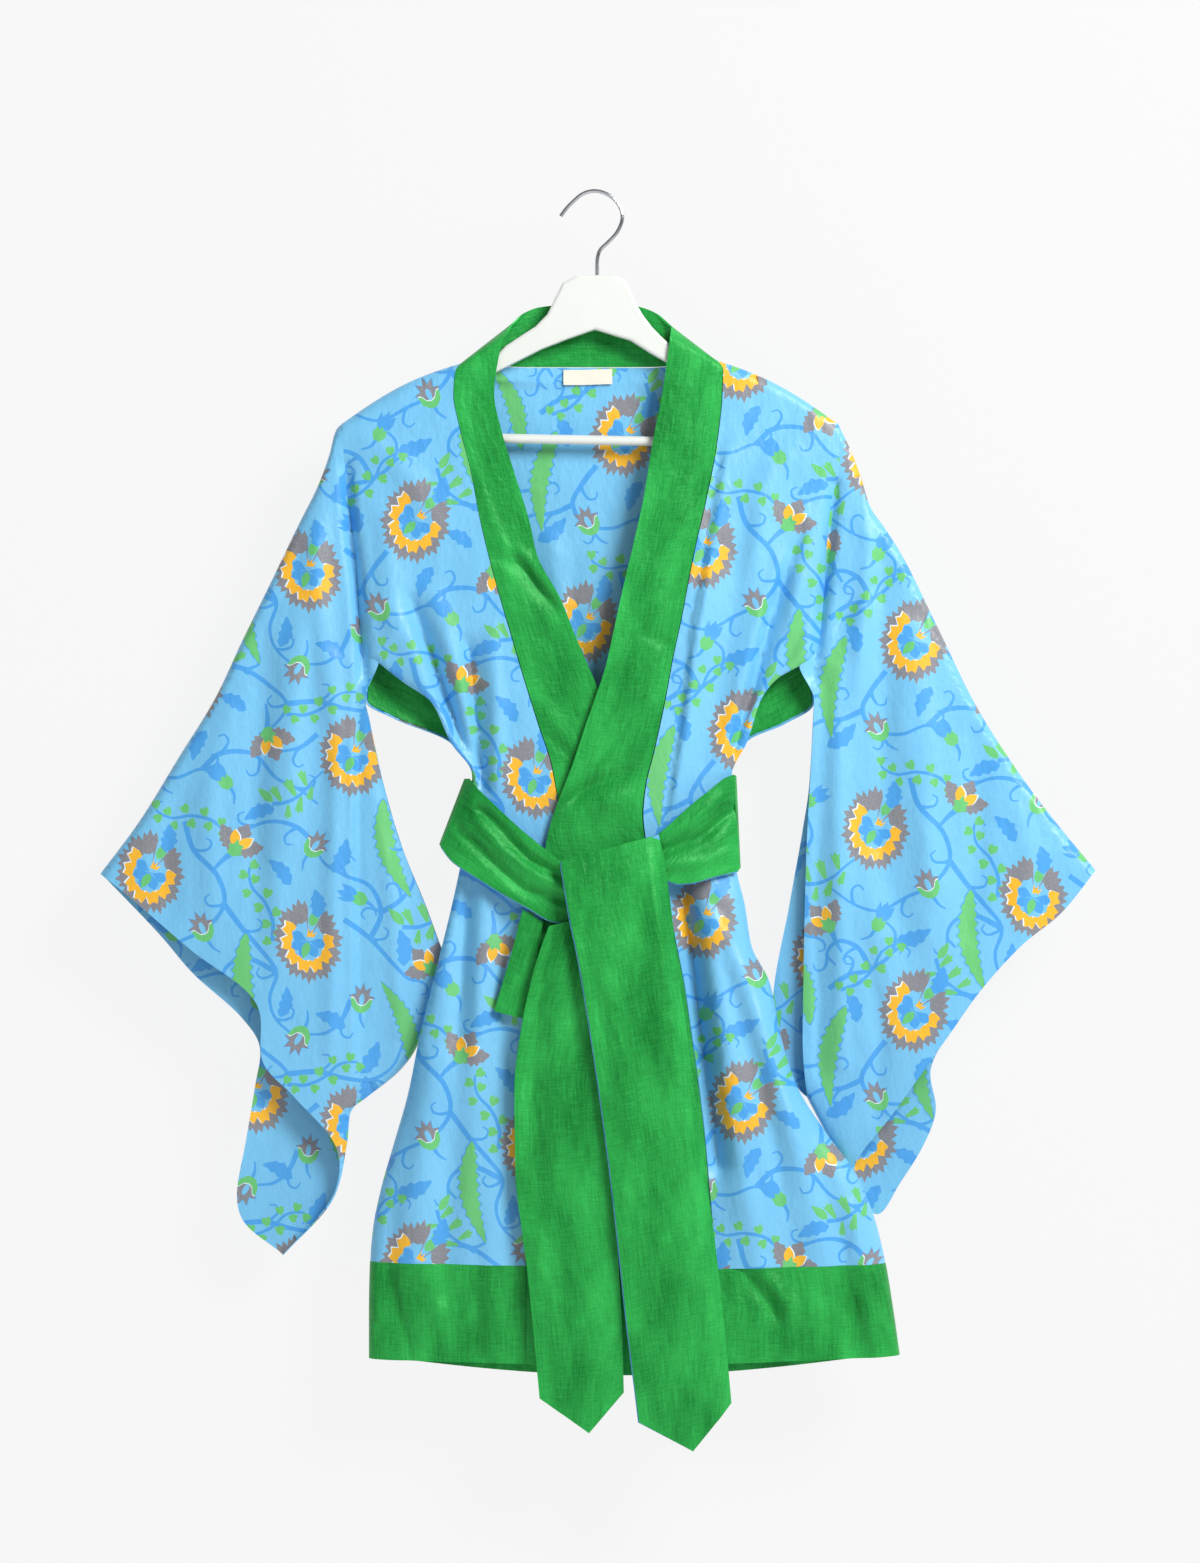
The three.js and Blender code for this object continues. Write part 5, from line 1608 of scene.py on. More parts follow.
HEM_LEFT_CREASES = [
    Crease(((136, -990), (152, -1012), (168, -1036)), 6, -7, Form.SHARP),
    Crease(((150, -988), (164, -1006), (184, -1030)), 7, 4),
    Crease(((166, -996), (176, -1040), (182, -1064)), 6.8, 2.6),
    Crease(((206, -992), (216, -1060)), 6.8, -2.6),
    Crease(((240, -992), (252, -1050)), 6.8, 2.2),
    Crease(((126, -1004), (134, -1060)), 5.95, 1.8),
]
BACK_CREASES = [
    Crease(((-110, -360), (-96, -440), (-74, -530)), 8.5, 4.5),
    Crease(((108, -350), (92, -440), (72, -530)), 8.5, 4.9),
    Crease(((-40, -320), (-30, -430), (-22, -530)), 11.05, -3.8),
    Crease(((46, -340), (36, -440), (28, -530)), 10.2, 3.9),
    Crease(((-172, -330), (-150, -400), (-128, -470)), 9.35, -4.5),
    Crease(((168, -330), (148, -400), (130, -470)), 9.35, -4.2),
    Crease(((-40, -640), (-52, -800), (-60, -1000)), 11.05, -4.9),
    Crease(((36, -640), (52, -800), (66, -1020)), 11.9, 4.5),
    Crease(((-96, -660), (-140, -860), (-160, -1040)), 10.2, 4.9),
    Crease(((100, -650), (150, -820), (200, -1020)), 11.05, -5.5),
    Crease(((120, -700), (190, -880), (232, -1040)), 11.05, 4.5),
]
SLEEVE_RIGHT_CREASES = [
    Crease(((-258, -290), (-254, -380), (-246, -480)), 9, 4.7),
    Crease(((-221, -425), (-222, -560), (-222, -690), (-221, -790)), 10, -5, Form.STEP),
    Crease(((-239, -430), (-241, -600), (-244, -790)), 8.5, 4.5),
    Crease(((-305, -420), (-312, -560), (-308, -720)), 13.6, -4.5),
    Crease(((-262, -330), (-276, -450), (-280, -600)), 11.9, 3.9),
    Crease(((-340, -480), (-356, -560), (-352, -660)), 12.75, 4.2),
    Crease(((-198, -560), (-186, -660), (-182, -770)), 8.5, 3.8),
    Crease(((-384, -560), (-396, -610), (-392, -660)), 11.05, -3.1),
]
SLEEVE_LEFT_CREASES = [
    Crease(((252, -300), (246, -380), (238, -470)), 9, 4.7),
    Crease(((204, -450), (200, -560), (201, -700), (204, -810)), 6.8, -4.9, Form.SHARP),
    Crease(((251, -362), (230, -386), (207.5, -411)), 6.8, -4.9, Form.SHARP),
    Crease(((222, -440), (222, -600), (226, -800)), 9.35, 4.4),
    Crease(((262, -330), (266, -450), (262, -600)), 11.9, -3.9),
    Crease(((292, -400), (306, -520), (304, -680)), 12.75, 3.9),
    Crease(((346, -500), (352, -580), (342, -680)), 11.9, -3.8),
    Crease(((248, -690), (262, -780), (258, -850)), 9.35, -3.4),
    Crease(((390, -570), (398, -610), (386, -670)), 10.2, 3.1),
]


# ---------- the robe
class Col(IntEnum):
    """Columns of a front's table."""

    SIDE_X = 0
    SIDE_Z = 1
    SIDE_Y = 2
    MID_Y = 3
    SEAM_X = 4
    SEAM_Z = 5
    SEAM_Y = 6
    FREE_X = 7
    FREE_Z = 8
    FREE_Y = 9


CLOSED_FROM_ROW = 14
HEM_ROW = 24
LAST_ROW = 26
UNDERARM_ROW = 10


@dataclass
class Front:
    """One front with its collar band and its hem band.

    Args:
        suffix: right or left, the wearer's.
        rows: from the shoulder ridge to the hem, as named by Col.
        creases: the fine creases of the panel.
        band_creases: those of its collar band.
        hem_creases: those of its hem band.
        shift: where the print's block lies.
        cut: width, length and area of the panel's cut in metres.
    """

    suffix: str
    rows: Array
    creases: list[Crease]
    band_creases: list[Crease]
    hem_creases: list[Crease]
    shift: tuple[float, float]
    cut: tuple[float, float, float]
    folds: list[Crease] = field(default_factory=list)
    armhole: Crease | None = None
    shoulder_bow: float = 7.0
    side_roll: float = 32.0
    cloth: float = 0.8
    band_cloth: float = 1.7
    fold_gap: float = 0.4

    def points(self, rows: Array, shares: Array, creases: Sequence[Crease]) -> Array:
        """Works out the panel's form.

        Args:
            rows: row numbers, whole or between.
            shares: from the side (0) to the collar seam (1).
            creases: the fine creases to press in.

        Returns:
            Its points, rows by columns.
        """
        r = between(self.rows, rows)[:, :, None]
        share = shares[None, :]
        x = mix(r[:, Col.SIDE_X], r[:, Col.SEAM_X], share)
        bow = self.shoulder_bow * (1 - smooth((rows - 2) / 5))[:, None]
        z = mix(r[:, Col.SIDE_Z], r[:, Col.SEAM_Z], share) + bow * np.sin(np.pi * share)
        width = np.abs(r[:, Col.SEAM_X] - r[:, Col.SIDE_X])
        body = mix(r[:, Col.MID_Y], r[:, Col.SEAM_Y], smooth(share))
        y = mix(r[:, Col.SIDE_Y], body, quarter(share * width / self.side_roll))
        y = y - self.fold_gap / 2 * smooth((rows - CLOSED_FROM_ROW + 1))[:, None]
        inside = np.minimum(smooth(share / 0.15), smooth(rows / 4)[:, None])
        y = y - inside * (creased(self.folds, x, z) + creased(creases, x, z))
        y = y - smooth((rows - 1) / 3)[:, None] * self.armhole.at(x, z)
        return np.stack([x, y, z], -1)

    def row_steps(self, first: float, last: float, pace: float = 4.0) -> Array:
        """Returns row numbers about one pace apart down the seam, with every whole row near the shoulder."""
        dense = np.linspace(first, last, 1200)
        seam = between(self.rows, dense)[:, [Col.SIDE_X, Col.SIDE_Z]]
        run = run_of(seam)
        steps = np.interp(np.linspace(0, run[-1], max(4, int(run[-1] / pace))), run, dense)
        if first < 4:
            steps = np.unique(np.round(np.concatenate([steps, np.linspace(first, 4, 25)]), 4))
        return steps

    def share_steps(self) -> Array:
        """Returns shares across the panel, closer together near the side."""
        return np.concatenate([[0, 0.01, 0.025, 0.045, 0.07], np.linspace(0.1, 1, 46)])

    def band_grid(self, neck: Array, rows: Array) -> Grid:
        """Works out the collar band's form, from the centre back over the shoulder and down the front.

        Args:
            neck: rows round the neck: seam x, z, y and free x, z, y.
            rows: row numbers of the front.

        Returns:
            The grid, seam to free edge.
        """
        shares = np.linspace(0.012, 1, 14)[None, :, None]
        front = between(self.rows, rows)
        y_gap = self.fold_gap / 2 * smooth(rows - CLOSED_FROM_ROW + 1)
        seam = np.stack([front[:, Col.SEAM_X], front[:, Col.SEAM_Y] - y_gap, front[:, Col.SEAM_Z]], 1)
        pull = creased(self.folds, seam[:, 0], seam[:, 2]) + creased(self.creases, seam[:, 0], seam[:, 2])
        seam[:, 1] -= smooth(rows / 4) * pull
        free = front[:, [Col.FREE_X, Col.FREE_Y, Col.FREE_Z]]
        back = between(neck, np.linspace(0, len(neck) - 1, 44)[:-1])
        seams = np.concatenate([back[:, [0, 2, 1]], seam])[:, None]
        frees = np.concatenate([back[:, [3, 5, 4]], free])[:, None]
        points = seams + (frees - seams) * shares
        on_front = np.concatenate([np.zeros(len(back)), smooth((rows - 2) / 4)])[:, None]
        edge = smooth(shares[..., 0] * 5) * smooth((1 - shares[..., 0]) * 6)
        points[..., 1] -= edge * on_front * creased(self.band_creases, points[..., 0], points[..., 2])
        return Grid(points)


@dataclass
class Robe:
    """The kimono's own pieces but the sleeves: back, fronts, bands, facings and label."""

    printer: Printer
    silk: PrintedSilk = field(default_factory=PrintedSilk)
    trim: SlubSilk = field(default_factory=SlubSilk)
    back_shift: tuple[float, float] = (-70.0, -330.0)
    cloth: float = 0.8
    hem_extra: float = 0.3
    side_roll: float = 32.0

    def __post_init__(self) -> None:
        """Works out the fronts."""
        self.right = Front("right", FRONT_RIGHT, RIGHT_CREASES, BAND_RIGHT_CREASES, HEM_RIGHT_CREASES,
                           (-262.0, -410.0), (0.17, 0.9, 0.105), FRONT_FOLDS, ARMHOLE_RIGHT)
        self.left = Front("left", FRONT_LEFT, LEFT_CREASES, BAND_LEFT_CREASES, HEM_LEFT_CREASES,
                          (38.0, -262.0), (0.19, 0.9, 0.12), FRONT_FOLDS, ARMHOLE_LEFT)
        self.back = self.back_grid()

    def build(self) -> None:
        """Makes every piece of the robe but the sleeves."""
        self.back_pieces()
        for front in (self.right, self.left):
            self.front_pieces(front)
        self.facings()
        self.label()

    def back_grid(self) -> Grid:
        """Works out the back's form: rows from the shoulder line to the hem, columns from right to left."""
        right, left = self.right, self.left
        rows = right.row_steps(0, LAST_ROW)
        shares = np.linspace(0, 1, 12)
        ridges = [front.points(np.array([0.0]), shares, [])[0] for front in (right, left)]
        for ridge in ridges:
            ridge[:, 1] = 0
        neck = NECK[1:-1, [0, 2, 1]]
        top = np.concatenate([ridges[0], neck, ridges[1][::-1]])
        pace = run_of(top)
        steps = np.interp(np.linspace(0, 1, 160), [0, 0.05, 0.95, 1], [0, 0.03, 0.97, 1]) * pace[-1]
        top = np.stack([np.interp(steps, pace, top[:, k]) for k in range(3)], 1)
        share = ((top[:, 0] - top[0, 0]) / (top[-1, 0] - top[0, 0]))[None, :]
        ends = self._back_edges(rows)
        mid_y, drop = (np.interp(rows, BACK_DROP[:, 0], BACK_DROP[:, k])[:, None] for k in (1, 2))
        right_x, right_z, left_x, left_z, side_y = (ends[:, k : k + 1] for k in range(5))
        lift = (1 - smooth((rows - 2) / 9))[:, None]
        x = mix(right_x, left_x, share)
        straight = mix(top[0, 2], top[-1, 2], share)
        z = mix(right_z, left_z, share) + (top[None, :, 2] - straight) * lift - drop * np.sin(np.pi * share)
        from_side = np.minimum(share, 1 - share) * (left_x - right_x)
        rolled = mix(side_y, mid_y, quarter(from_side / self.side_roll))
        from_ridge = np.interp(rows, [0, 0.4, 1, 2, 3], [0, 3.2, 5.5, 8, 30])[:, None]
        y = np.maximum(top[None, :, 1], np.minimum(rolled, from_ridge))
        y = y + 0.2 * smooth(rows - CLOSED_FROM_ROW + 1)[:, None]
        inside = smooth(from_side / 30) * smooth(rows / 5)[:, None]
        y = y + inside * (creased(BACK_FOLDS, x, z) + creased(BACK_CREASES, x, z))
        return Grid(np.stack([x, y, z], -1), front=False)

    def _back_edges(self, rows: Array) -> Array:
        """Returns the back's side edges: right x and z, left x and z, depth, for each row."""
        right, left = self.right.rows, self.left.rows
        place = [Col.SIDE_X, Col.SIDE_Z]
        edges = np.column_stack([right[:, place], left[:, place], right[:, Col.SIDE_Y]]).astype(float)
        for row, *places in BACK_UNDERARM:
            edges[int(row), :4] = places
        edges[:CLOSED_FROM_ROW, 4] *= -1
        return between(edges, rows)

    def back_pieces(self) -> None:
        """Makes the back panel and its hem band."""
        rows = self.right.row_steps(0, LAST_ROW)
        hem = int(np.argmin(np.abs(rows - HEM_ROW)))
        last_row, last_column = len(rows) - 1, self.back.points.shape[1] - 1
        panel = self.printer.layer(self.back.part(0, hem, 0, last_column), self.back_shift)
        panel.sewn("back_panel", self.cloth, self.silk, (0.5, 0.9), area=0.36, rests_on=["hanger_body"])
        band = Layer.from_grid(self.back.part(hem, last_row, 0, last_column))
        band.sewn("hem_band_back", self.cloth + self.hem_extra, self.trim, (0.5, 0.1))

    def front_pieces(self, front: Front) -> None:
        """Makes a front panel, its hem band and its collar band."""
        shares = front.share_steps()
        rows = front.row_steps(0, HEM_ROW)
        panel = self.printer.layer(Grid(front.points(rows, shares, front.creases)), front.shift)
        width, length, area = front.cut
        panel.sewn(f"front_panel_{front.suffix}", self.cloth, self.silk, (width, length), area=area,
                   rests_on=["hanger_body"])
        hem_rows = front.row_steps(HEM_ROW, LAST_ROW)
        hem_points = front.points(hem_rows, shares, [*front.creases, *front.hem_creases])
        hem = Layer.from_grid(Grid(hem_points).moved(self.hem_extra / 2))
        hem.sewn(f"hem_band_front_{front.suffix}", self.cloth + self.hem_extra, self.trim, (0.17, 0.1))
        neck = NECK[:6][::-1] if front.suffix == "right" else NECK[5:]
        band = Layer.from_grid(front.band_grid(neck, front.row_steps(0, LAST_ROW)))
        band.sewn(f"collar_band_{front.suffix}", front.band_cloth, self.trim, (0.06, 1.12),
                  rests_on=["hanger_body"])

    def depth_at(self, spots: Array) -> Array:
        """Returns the back's depth at places of x and z."""
        points, _ = Printer.lifted(self.back, spots)
        return points[:, 1]

    def on_back(self, spots: Array, lift: float) -> Grid:
        """Lays a piece on the inside of the back.

        Args:
            spots: rows and columns of x and z.
            lift: how far in front of the back it lies.

        Returns:
            Its grid.
        """
        depth = self.depth_at(spots.reshape(-1, 2)).reshape(spots.shape[:2])
        return Grid(np.stack([spots[..., 0], depth - lift, spots[..., 1]], -1))

    def facings(self) -> None:
        """Makes the green strips inside the back's open sides."""
        edges = self._back_edges(np.arange(LAST_ROW + 1.0))
        for suffix, columns, way in (("right", (0, 1), 1), ("left", (2, 3), -1)):
            at = np.linspace(UNDERARM_ROW, 12, 24)
            edge = between(edges[:, columns], at)
            lean = 0.42 - 0.36 * (1 - smooth((at - UNDERARM_ROW) / 0.5))
            across = 1.5 + np.linspace(0, 40, 12)
            x = edge[:, :1] + way * (1.5 + lean[:, None] * across[None, :])
            z = edge[:, 1:] + 0.9 * across[None, :]
            layer = Layer.from_grid(self.on_back(np.stack([x, z], -1), 1.6))
            layer.sewn(f"underarm_facing_{suffix}", self.cloth, self.trim, (0.045, 0.09),
                       rests_on=["back_panel_cloth"])

    def label(self) -> None:
        """Makes the blank label at the back of the neck."""
        x = np.linspace(-30.5, 14.5, 24)[None, :] + np.zeros((8, 1))
        z = np.linspace(-161.5, -175.5, 8)[:, None] + 0.5 * np.sin(x / 13)
        grid = self.on_back(np.stack([x, z], -1), 1.5)
        grid.points[..., 1] -= 0.8 * smooth(np.linspace(0, 1, 8))[:, None] * (1 + 0.4 * np.sin(x / 6))
        piece = Layer.from_grid(Grid(grid.points)).shell("neck_label_tape", 0.6, LabelTape())
        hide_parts("neck_label")
        log.info("neck label")


@dataclass
class Sleeve:
    """A sleeve: a rectangle folded along the arm, open at the cuff and on the body side below the underarm.

    Args:
        suffix: right or left, the wearer's.
        rows: the front's table, for the armhole.
        outward: -1 for the right sleeve and 1 for the left one.
        lines: the outline's runs by name: top, body, under, cuff and cuff_back.
        set_back: how far the lower part hangs behind the skirt.
        shifts: where the print's block lies, front and back.
        creases: the fine ones, which run through both layers.
        underarm: where the front layer leaves the armhole.
    """

    suffix: str
    rows: Array
    outward: int
    lines: dict[str, list[tuple[float, float]]]
    set_back: float
    shifts: tuple[tuple[float, float], tuple[float, float]]
    creases: list[Crease]
    underarm: tuple[float, float] = (0.0, 0.0)
    armhole: Crease | None = None
    gap: float = 0.12
    half_depth: float = 8.0
    cloth: float = 0.8
    ring_steps: int = 170
    stations: int = 120

    def _ring(self, back_layer: bool) -> tuple[Array, Array]:
        """Returns the body side's line and half depth, at even steps from the top fold to the bottom one."""
        edges = self.rows[: UNDERARM_ROW + 1, [Col.SIDE_X, Col.SIDE_Z]].astype(float)
        own = {int(row): (places[0:2] if self.outward < 0 else places[2:4]) for row, *places in BACK_UNDERARM}
        if not back_layer:
            own = {10: self.underarm}
        for row, place in own.items():
            if row <= UNDERARM_ROW:
                edges[row] = place
        edges[:, 0] += self.outward * self.gap
        half = [abs(self.rows[i, Col.SIDE_Y]) if i < 9 else self.half_depth for i in range(UNDERARM_ROW + 1)]
        free = self.lines.get("body_back", self.lines["body"]) if back_layer else self.lines["body"]
        half += [self.half_depth] * (len(free) - 2) + [5.5, 3.5, 0.0]
        line = np.concatenate([edges, np.array(free, float), [self.lines["under"][0]]])
        nodes = np.column_stack([line, half])
        dense = between(nodes, np.linspace(0, len(nodes) - 1, 900))
        run = run_of(dense[:, :2])
        even = np.linspace(0, 1, self.ring_steps)
        share = np.interp(even, [0, 0.02, 0.06, 0.94, 0.98, 1], [0, 0.006, 0.03, 0.97, 0.994, 1])
        out = np.stack([np.interp(share, run / run[-1], dense[:, k]) for k in range(3)], 1)
        return np.column_stack([out, share]), share

    def _layer(self, back_layer: bool) -> Array:
        """Returns the points of one layer, stations by ring."""
        ring, share = self._ring(back_layer)
        tip = (self.rows[0, Col.SIDE_X] + self.outward * self.gap, self.rows[0, Col.SIDE_Z])
        top = Curve([tip, *self.lines["top"]])
        under = Curve(self.lines["under"])
        cuff = Curve(self.lines["cuff_back"] if back_layer else self.lines["cuff"])
        station = np.linspace(0, 1, self.stations)
        body, hem = ring[:, :2], cuff.at(share)
        s, t = share[None, :, None], station[:, None, None]
        p = body[None] * (1 - t) + hem[None] * t
        p = p + top.at(station)[:, None] * (1 - s) + under.at(station)[:, None] * s
        p = p - body[0] * (1 - s) * (1 - t) - hem[0] * (1 - s) * t
        p = p - body[-1] * s * (1 - t) - hem[-1] * s * t
        x, z = p[..., 0], p[..., 1]
        centre = self.set_back * smooth((share - 0.5) / 0.45)[None, :]
        y = centre + (1 if back_layer else -1) * ring[:, 2][None, :] + 0 * x
        return np.stack([x, y, z], -1)

    def _relief(self, back_layer: bool) -> Callable[[Array, Array], Array]:
        """Returns how far folds and creases move a layer: none of them reaches its closed edges."""
        folds = [Curve(self.lines[name]).track for name in ("top", "under")]
        rim = finder(np.concatenate([self._ring(back_layer)[0][:, :2], *folds]))
        tip = self.rows[0, Col.SIDE_Z]

        def relief(x: Array, z: Array) -> Array:
            """Returns the move along y."""
            room = np.array([rim.find((*spot, 0.0))[2] for spot in np.stack([x, z], -1).tolist()])
            share = smooth(room / 20)
            apart = np.maximum(creased(SLEEVE_FOLDS, x, z) * (0.6 if back_layer else 1.0), -5.5) * share
            together = creased(self.creases, x, z) * share
            if back_layer:
                return apart - together
            return -apart - together - self.armhole.at(x, z) * smooth((tip - 10 - z) / 55)

        return relief

    def build(self, printer: Printer, silk: PrintedSilk) -> None:
        """Makes the sleeve."""
        front, back = self._layer(False), self._layer(True)
        ring = np.concatenate([front, back[:, -2:0:-1]], axis=1)
        wrapped = np.concatenate([ring[:, -2:], ring, ring[:, :2]], axis=1)
        normals = Grid.turned(wrapped, True)[:, 2:-2]
        n = front.shape[1]
        if np.median(normals[:, :n, 1]) > 0:
            normals = -normals
        back_points = np.concatenate([ring[:, n - 1 :], ring[:, :1]], axis=1)
        back_normals = np.concatenate([normals[:, n - 1 :], normals[:, :1]], axis=1)
        outer = printer.layer(Grid(front, normals[:, :n]), self.shifts[0], self._relief(False))
        behind = Grid(back_points, back_normals, front=False)
        inner = printer.layer(behind, self.shifts[1], self._relief(True))
        outer.joined(inner).sewn(f"sleeve_{self.suffix}", self.cloth, silk, (0.62, 0.42), area=0.24,
                                 rests_on=["front_panel_left_cloth"])


# ---------- the sash
class Edge(Enum):
    """Along which of its long edges a stretch of sash shows its lining."""

    NONE = "hidden"
    BOTH = "both edges"
    SECOND = "the table's second edge"


@dataclass
class Strip:
    """One stretch of the sash.

    Args:
        name: the CAD node that it stands for.
        rows: its two edges, row by row.
        length: of the stretch in metres.
        ripple: depth of the soft folds along it.
        creases: the fine ones.
        lining: the edge along which the lining shows.
        tip: how far the cut point hangs below the end's corners, and where along the width.
        ends: how far the first and the last row lie off in depth, beside the next stretch.
        turned: the share of the width past which the cloth turns back.
    """

    name: str
    rows: Array
    length: float
    ripple: float
    creases: list[Crease]
    lining: Edge = Edge.NONE
    tip: tuple[float, float] | None = None
    ends: tuple[float, float] = (0.0, 0.0)
    rests_on: tuple[str, ...] = ()
    cloth: float = 1.2
    width: float = 0.09
    turned: float = 1.0

    def grid(self, widen: tuple[float, float] = (0.0, 0.0)) -> Grid:
        """Works out the strip's form.

        Args:
            widen: how far it reaches past its first and its second edge, in millimetres.

        Returns:
            The grid, from its first row on.
        """
        last = len(self.rows) - 1
        steps = max(30, round(self.length * 1000 / 4.5))
        at = np.linspace(0, last, steps)
        table = between(self.rows, at)[:, :, None]
        wide = np.linalg.norm(table[:, 0:2] - table[:, 3:5], axis=1)
        point = 0.5 if self.tip is None else self.tip[1]
        share = np.concatenate([np.linspace(0, point, 15), np.linspace(point, 1, 13)[1:]])[None, :]
        reach = share * (1 + (widen[0] + widen[1]) / wide) - widen[0] / wide
        x, z = mix(table[:, 0], table[:, 3], reach), mix(table[:, 1], table[:, 4], reach)
        y = mix(table[:, 2], table[:, 5], np.clip(reach, 0, 1))
        along = (at / last)[:, None]
        first, final = self.ends
        y = y + first * (1 - smooth(at))[:, None] + final * smooth(at - last + 1)[:, None]
        if self.tip is not None:
            drop = np.where(share < point, share / point, (1 - share) / (1 - point))
            z = z - self.tip[0] * drop * np.clip(at - last + 1, 0, 1)[:, None]
        y = y + np.maximum(reach - self.turned, 0) * wide * 0.9 * smooth((along - 0.06) / 0.2)
        edges = smooth(share * 7) * smooth((1 - share) * 7)
        y = y - self.ripple * np.sin(4 * np.pi * share) * np.sin(np.pi * share) * smooth(along / 0.25)
        y = y - edges * creased(self.creases, x, z)
        return Grid(np.stack([x, y, z], -1))

    def build(self, silk: SlubSilk, lining: LiningSilk) -> None:
        """Makes the strip and its lining."""
        parts = []
        if self.lining is not Edge.NONE:
            by = {Edge.SECOND: (-3.0, 1.3), Edge.BOTH: (1.1, 0.4)}[self.lining]
            behind = Layer.from_grid(self.grid(by).moved(-(self.cloth / 2 + 0.3)))
            parts.append(behind.shell(f"{self.name}_lining", 0.4, lining))
        area = self.width * self.length * (0.93 if self.tip else 1.0)
        Layer.from_grid(self.grid()).sewn(self.name, self.cloth, silk, (self.width, self.length), area=area,
                                          rests_on=list(self.rests_on), with_pieces=parts)


@dataclass
class Knot:
    """The sash's knot: a wrap of creased cloth, pulled in at the top and at the bottom.

    Args:
        x, y, z: its middle.
        width, depth, height: its size.
    """

    x: float = 15
    y: float = -31
    z: float = -628
    width: float = 68
    depth: float = 11
    height: float = 46
    rings: int = 64
    spokes: int = 128

    def build(self, silk: SlubSilk) -> None:
        """Makes the knot."""
        rise = np.linspace(-1, 1, self.rings)[:, None]
        angle = np.linspace(0, 2 * np.pi, self.spokes, endpoint=False)[None, :]
        level = np.sign(rise) * np.abs(rise) ** 0.85
        round_in = np.sqrt(np.clip(1 - np.abs(level) ** 2.6, 0, 1))
        c, s = np.cos(angle), np.sin(angle)
        x = np.sign(c) * np.abs(c) ** 0.8 * round_in * self.width / 2
        y = np.sign(s) * np.abs(s) ** 0.9 * round_in * self.depth / 2
        z = level * self.height / 2 + 0 * c
        slant = z + 0.35 * x
        folds = 1.1 * np.sin(slant / 4.6 + 0.6 * np.sin(x / 9)) + 0.5 * np.sin(slant / 2.3 + x / 13)
        y = y + np.clip(-s, 0, 1) ** 0.6 * round_in * folds * 0.9
        points = np.stack([self.x + x, self.y + y, self.z + z], -1)
        index = np.arange(self.rings * self.spokes).reshape(self.rings, self.spokes)
        following = np.roll(index, -1, axis=1)
        quads = np.stack([index[:-1], following[:-1], following[1:], index[1:]], -1).reshape(-1, 4)
        mesh = smooth_mesh("sash_knot_cloth", points.reshape(-1, 3) * MM, quads.tolist())
        spots = np.stack([angle + 0 * z, z / 24], -1).reshape(-1, 2)[quads.ravel()] * 0.024
        mesh.uv_layers.new(name="Cloth").data.foreach_set("uv", spots.ravel())
        piece = worn(mesh, silk)
        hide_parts("sash_knot")
        log.info("knot: %d faces", len(quads))


@dataclass
class Sash:
    """The sash, tied at the front: round the waist, two bands to the knot, two tails and a folded end."""

    silk: SlubSilk = field(default_factory=SlubSilk)
    lining: LiningSilk = field(default_factory=LiningSilk)

    def strips(self) -> list[Strip]:
        """Returns every stretch of it."""
        return [
            Strip("sash_waist", SASH_WAIST, 0.33, 0.0, [
                Crease(((-100, -560), (0, -568), (96, -560)), 7.2, -2.7),
                Crease(((-92, -598), (10, -590), (100, -600)), 8.1, 2.5),
            ], ends=(0.6, 0.6), rests_on=("back_panel_cloth",), width=0.084),
            Strip("sash_band_right", SASH_BAND_RIGHT, 0.125, 1.0, [
                Crease(((-106, -568), (-95, -577), (-62, -613), (-28, -630)), 5, -5.5, ends=0.7),
                Crease(((-110, -575), (-87, -603), (-56, -625), (-28, -640)), 5, 3.2, ends=0.7),
                Crease(((-126, -586), (-95, -615), (-66, -640), (-45, -647), (-26, -649)), 5, -5.5,
                       ends=0.7),
            ], Edge.SECOND, ends=(-0.6, 0.0), rests_on=("front_panel_right_cloth",), width=0.064),
            Strip("sash_band_left", SASH_BAND_LEFT, 0.092, 1.0, [
                Crease(((128, -564), (96, -593), (58, -606)), 5.5, -5, ends=0.7),
                Crease(((122, -606), (95, -616), (58, -619)), 5, 3, ends=0.7),
                Crease(((118, -552), (92, -576), (60, -598)), 5, 2),
            ], Edge.SECOND, ends=(-0.6, 0.0), rests_on=("front_panel_left_cloth",), width=0.073),
            Strip("sash_tail_rear", SASH_TAIL_REAR, 0.44, 0.5, [
                Crease(((-40, -676), (-54, -740), (-58, -830), (-50, -940)), 5.4, -4.1, Form.SHARP),
                Crease(((-30, -672), (-38, -760), (-38, -900)), 7.2, 2.7),
                Crease(((-14, -670), (-18, -760), (-14, -880)), 7.2, -2.5),
                Crease(((-52, -960), (-36, -1040), (-30, -1100)), 8.1, 2),
            ], Edge.NONE, (35, 0.587), rests_on=("collar_band_right_cloth",), width=0.083),
            Strip("sash_fold", SASH_FOLD, 0.094, 0.4, [
                Crease(((-60, -668), (-72, -710), (-84, -750)), 4.5, 1.7),
            ], Edge.NONE, rests_on=("front_panel_right_cloth",), width=0.026),
            Strip("sash_tail_front", SASH_TAIL_FRONT, 0.54, 0.5, [
                Crease(((0, -640), (14, -730), (32, -850), (46, -960)), 9, 2.2),
                Crease(((30, -640), (46, -760), (62, -880), (74, -1000)), 9, -2.2),
                Crease(((-26, -640), (-10, -700), (4, -770)), 6.3, -1.7),
                Crease(((52, -610), (58, -660), (66, -730)), 6.3, 2),
                Crease(((-20, -606), (20, -597), (50, -593)), 5.4, 1.7),
            ], Edge.BOTH, (36, 0.584), rests_on=("sash_knot_cloth",), width=0.091, turned=0.86),
        ]

    def build(self) -> None:
        """Makes the sash."""
        for strip in self.strips():
            strip.build(self.silk, self.lining)
        Knot().build(self.silk)


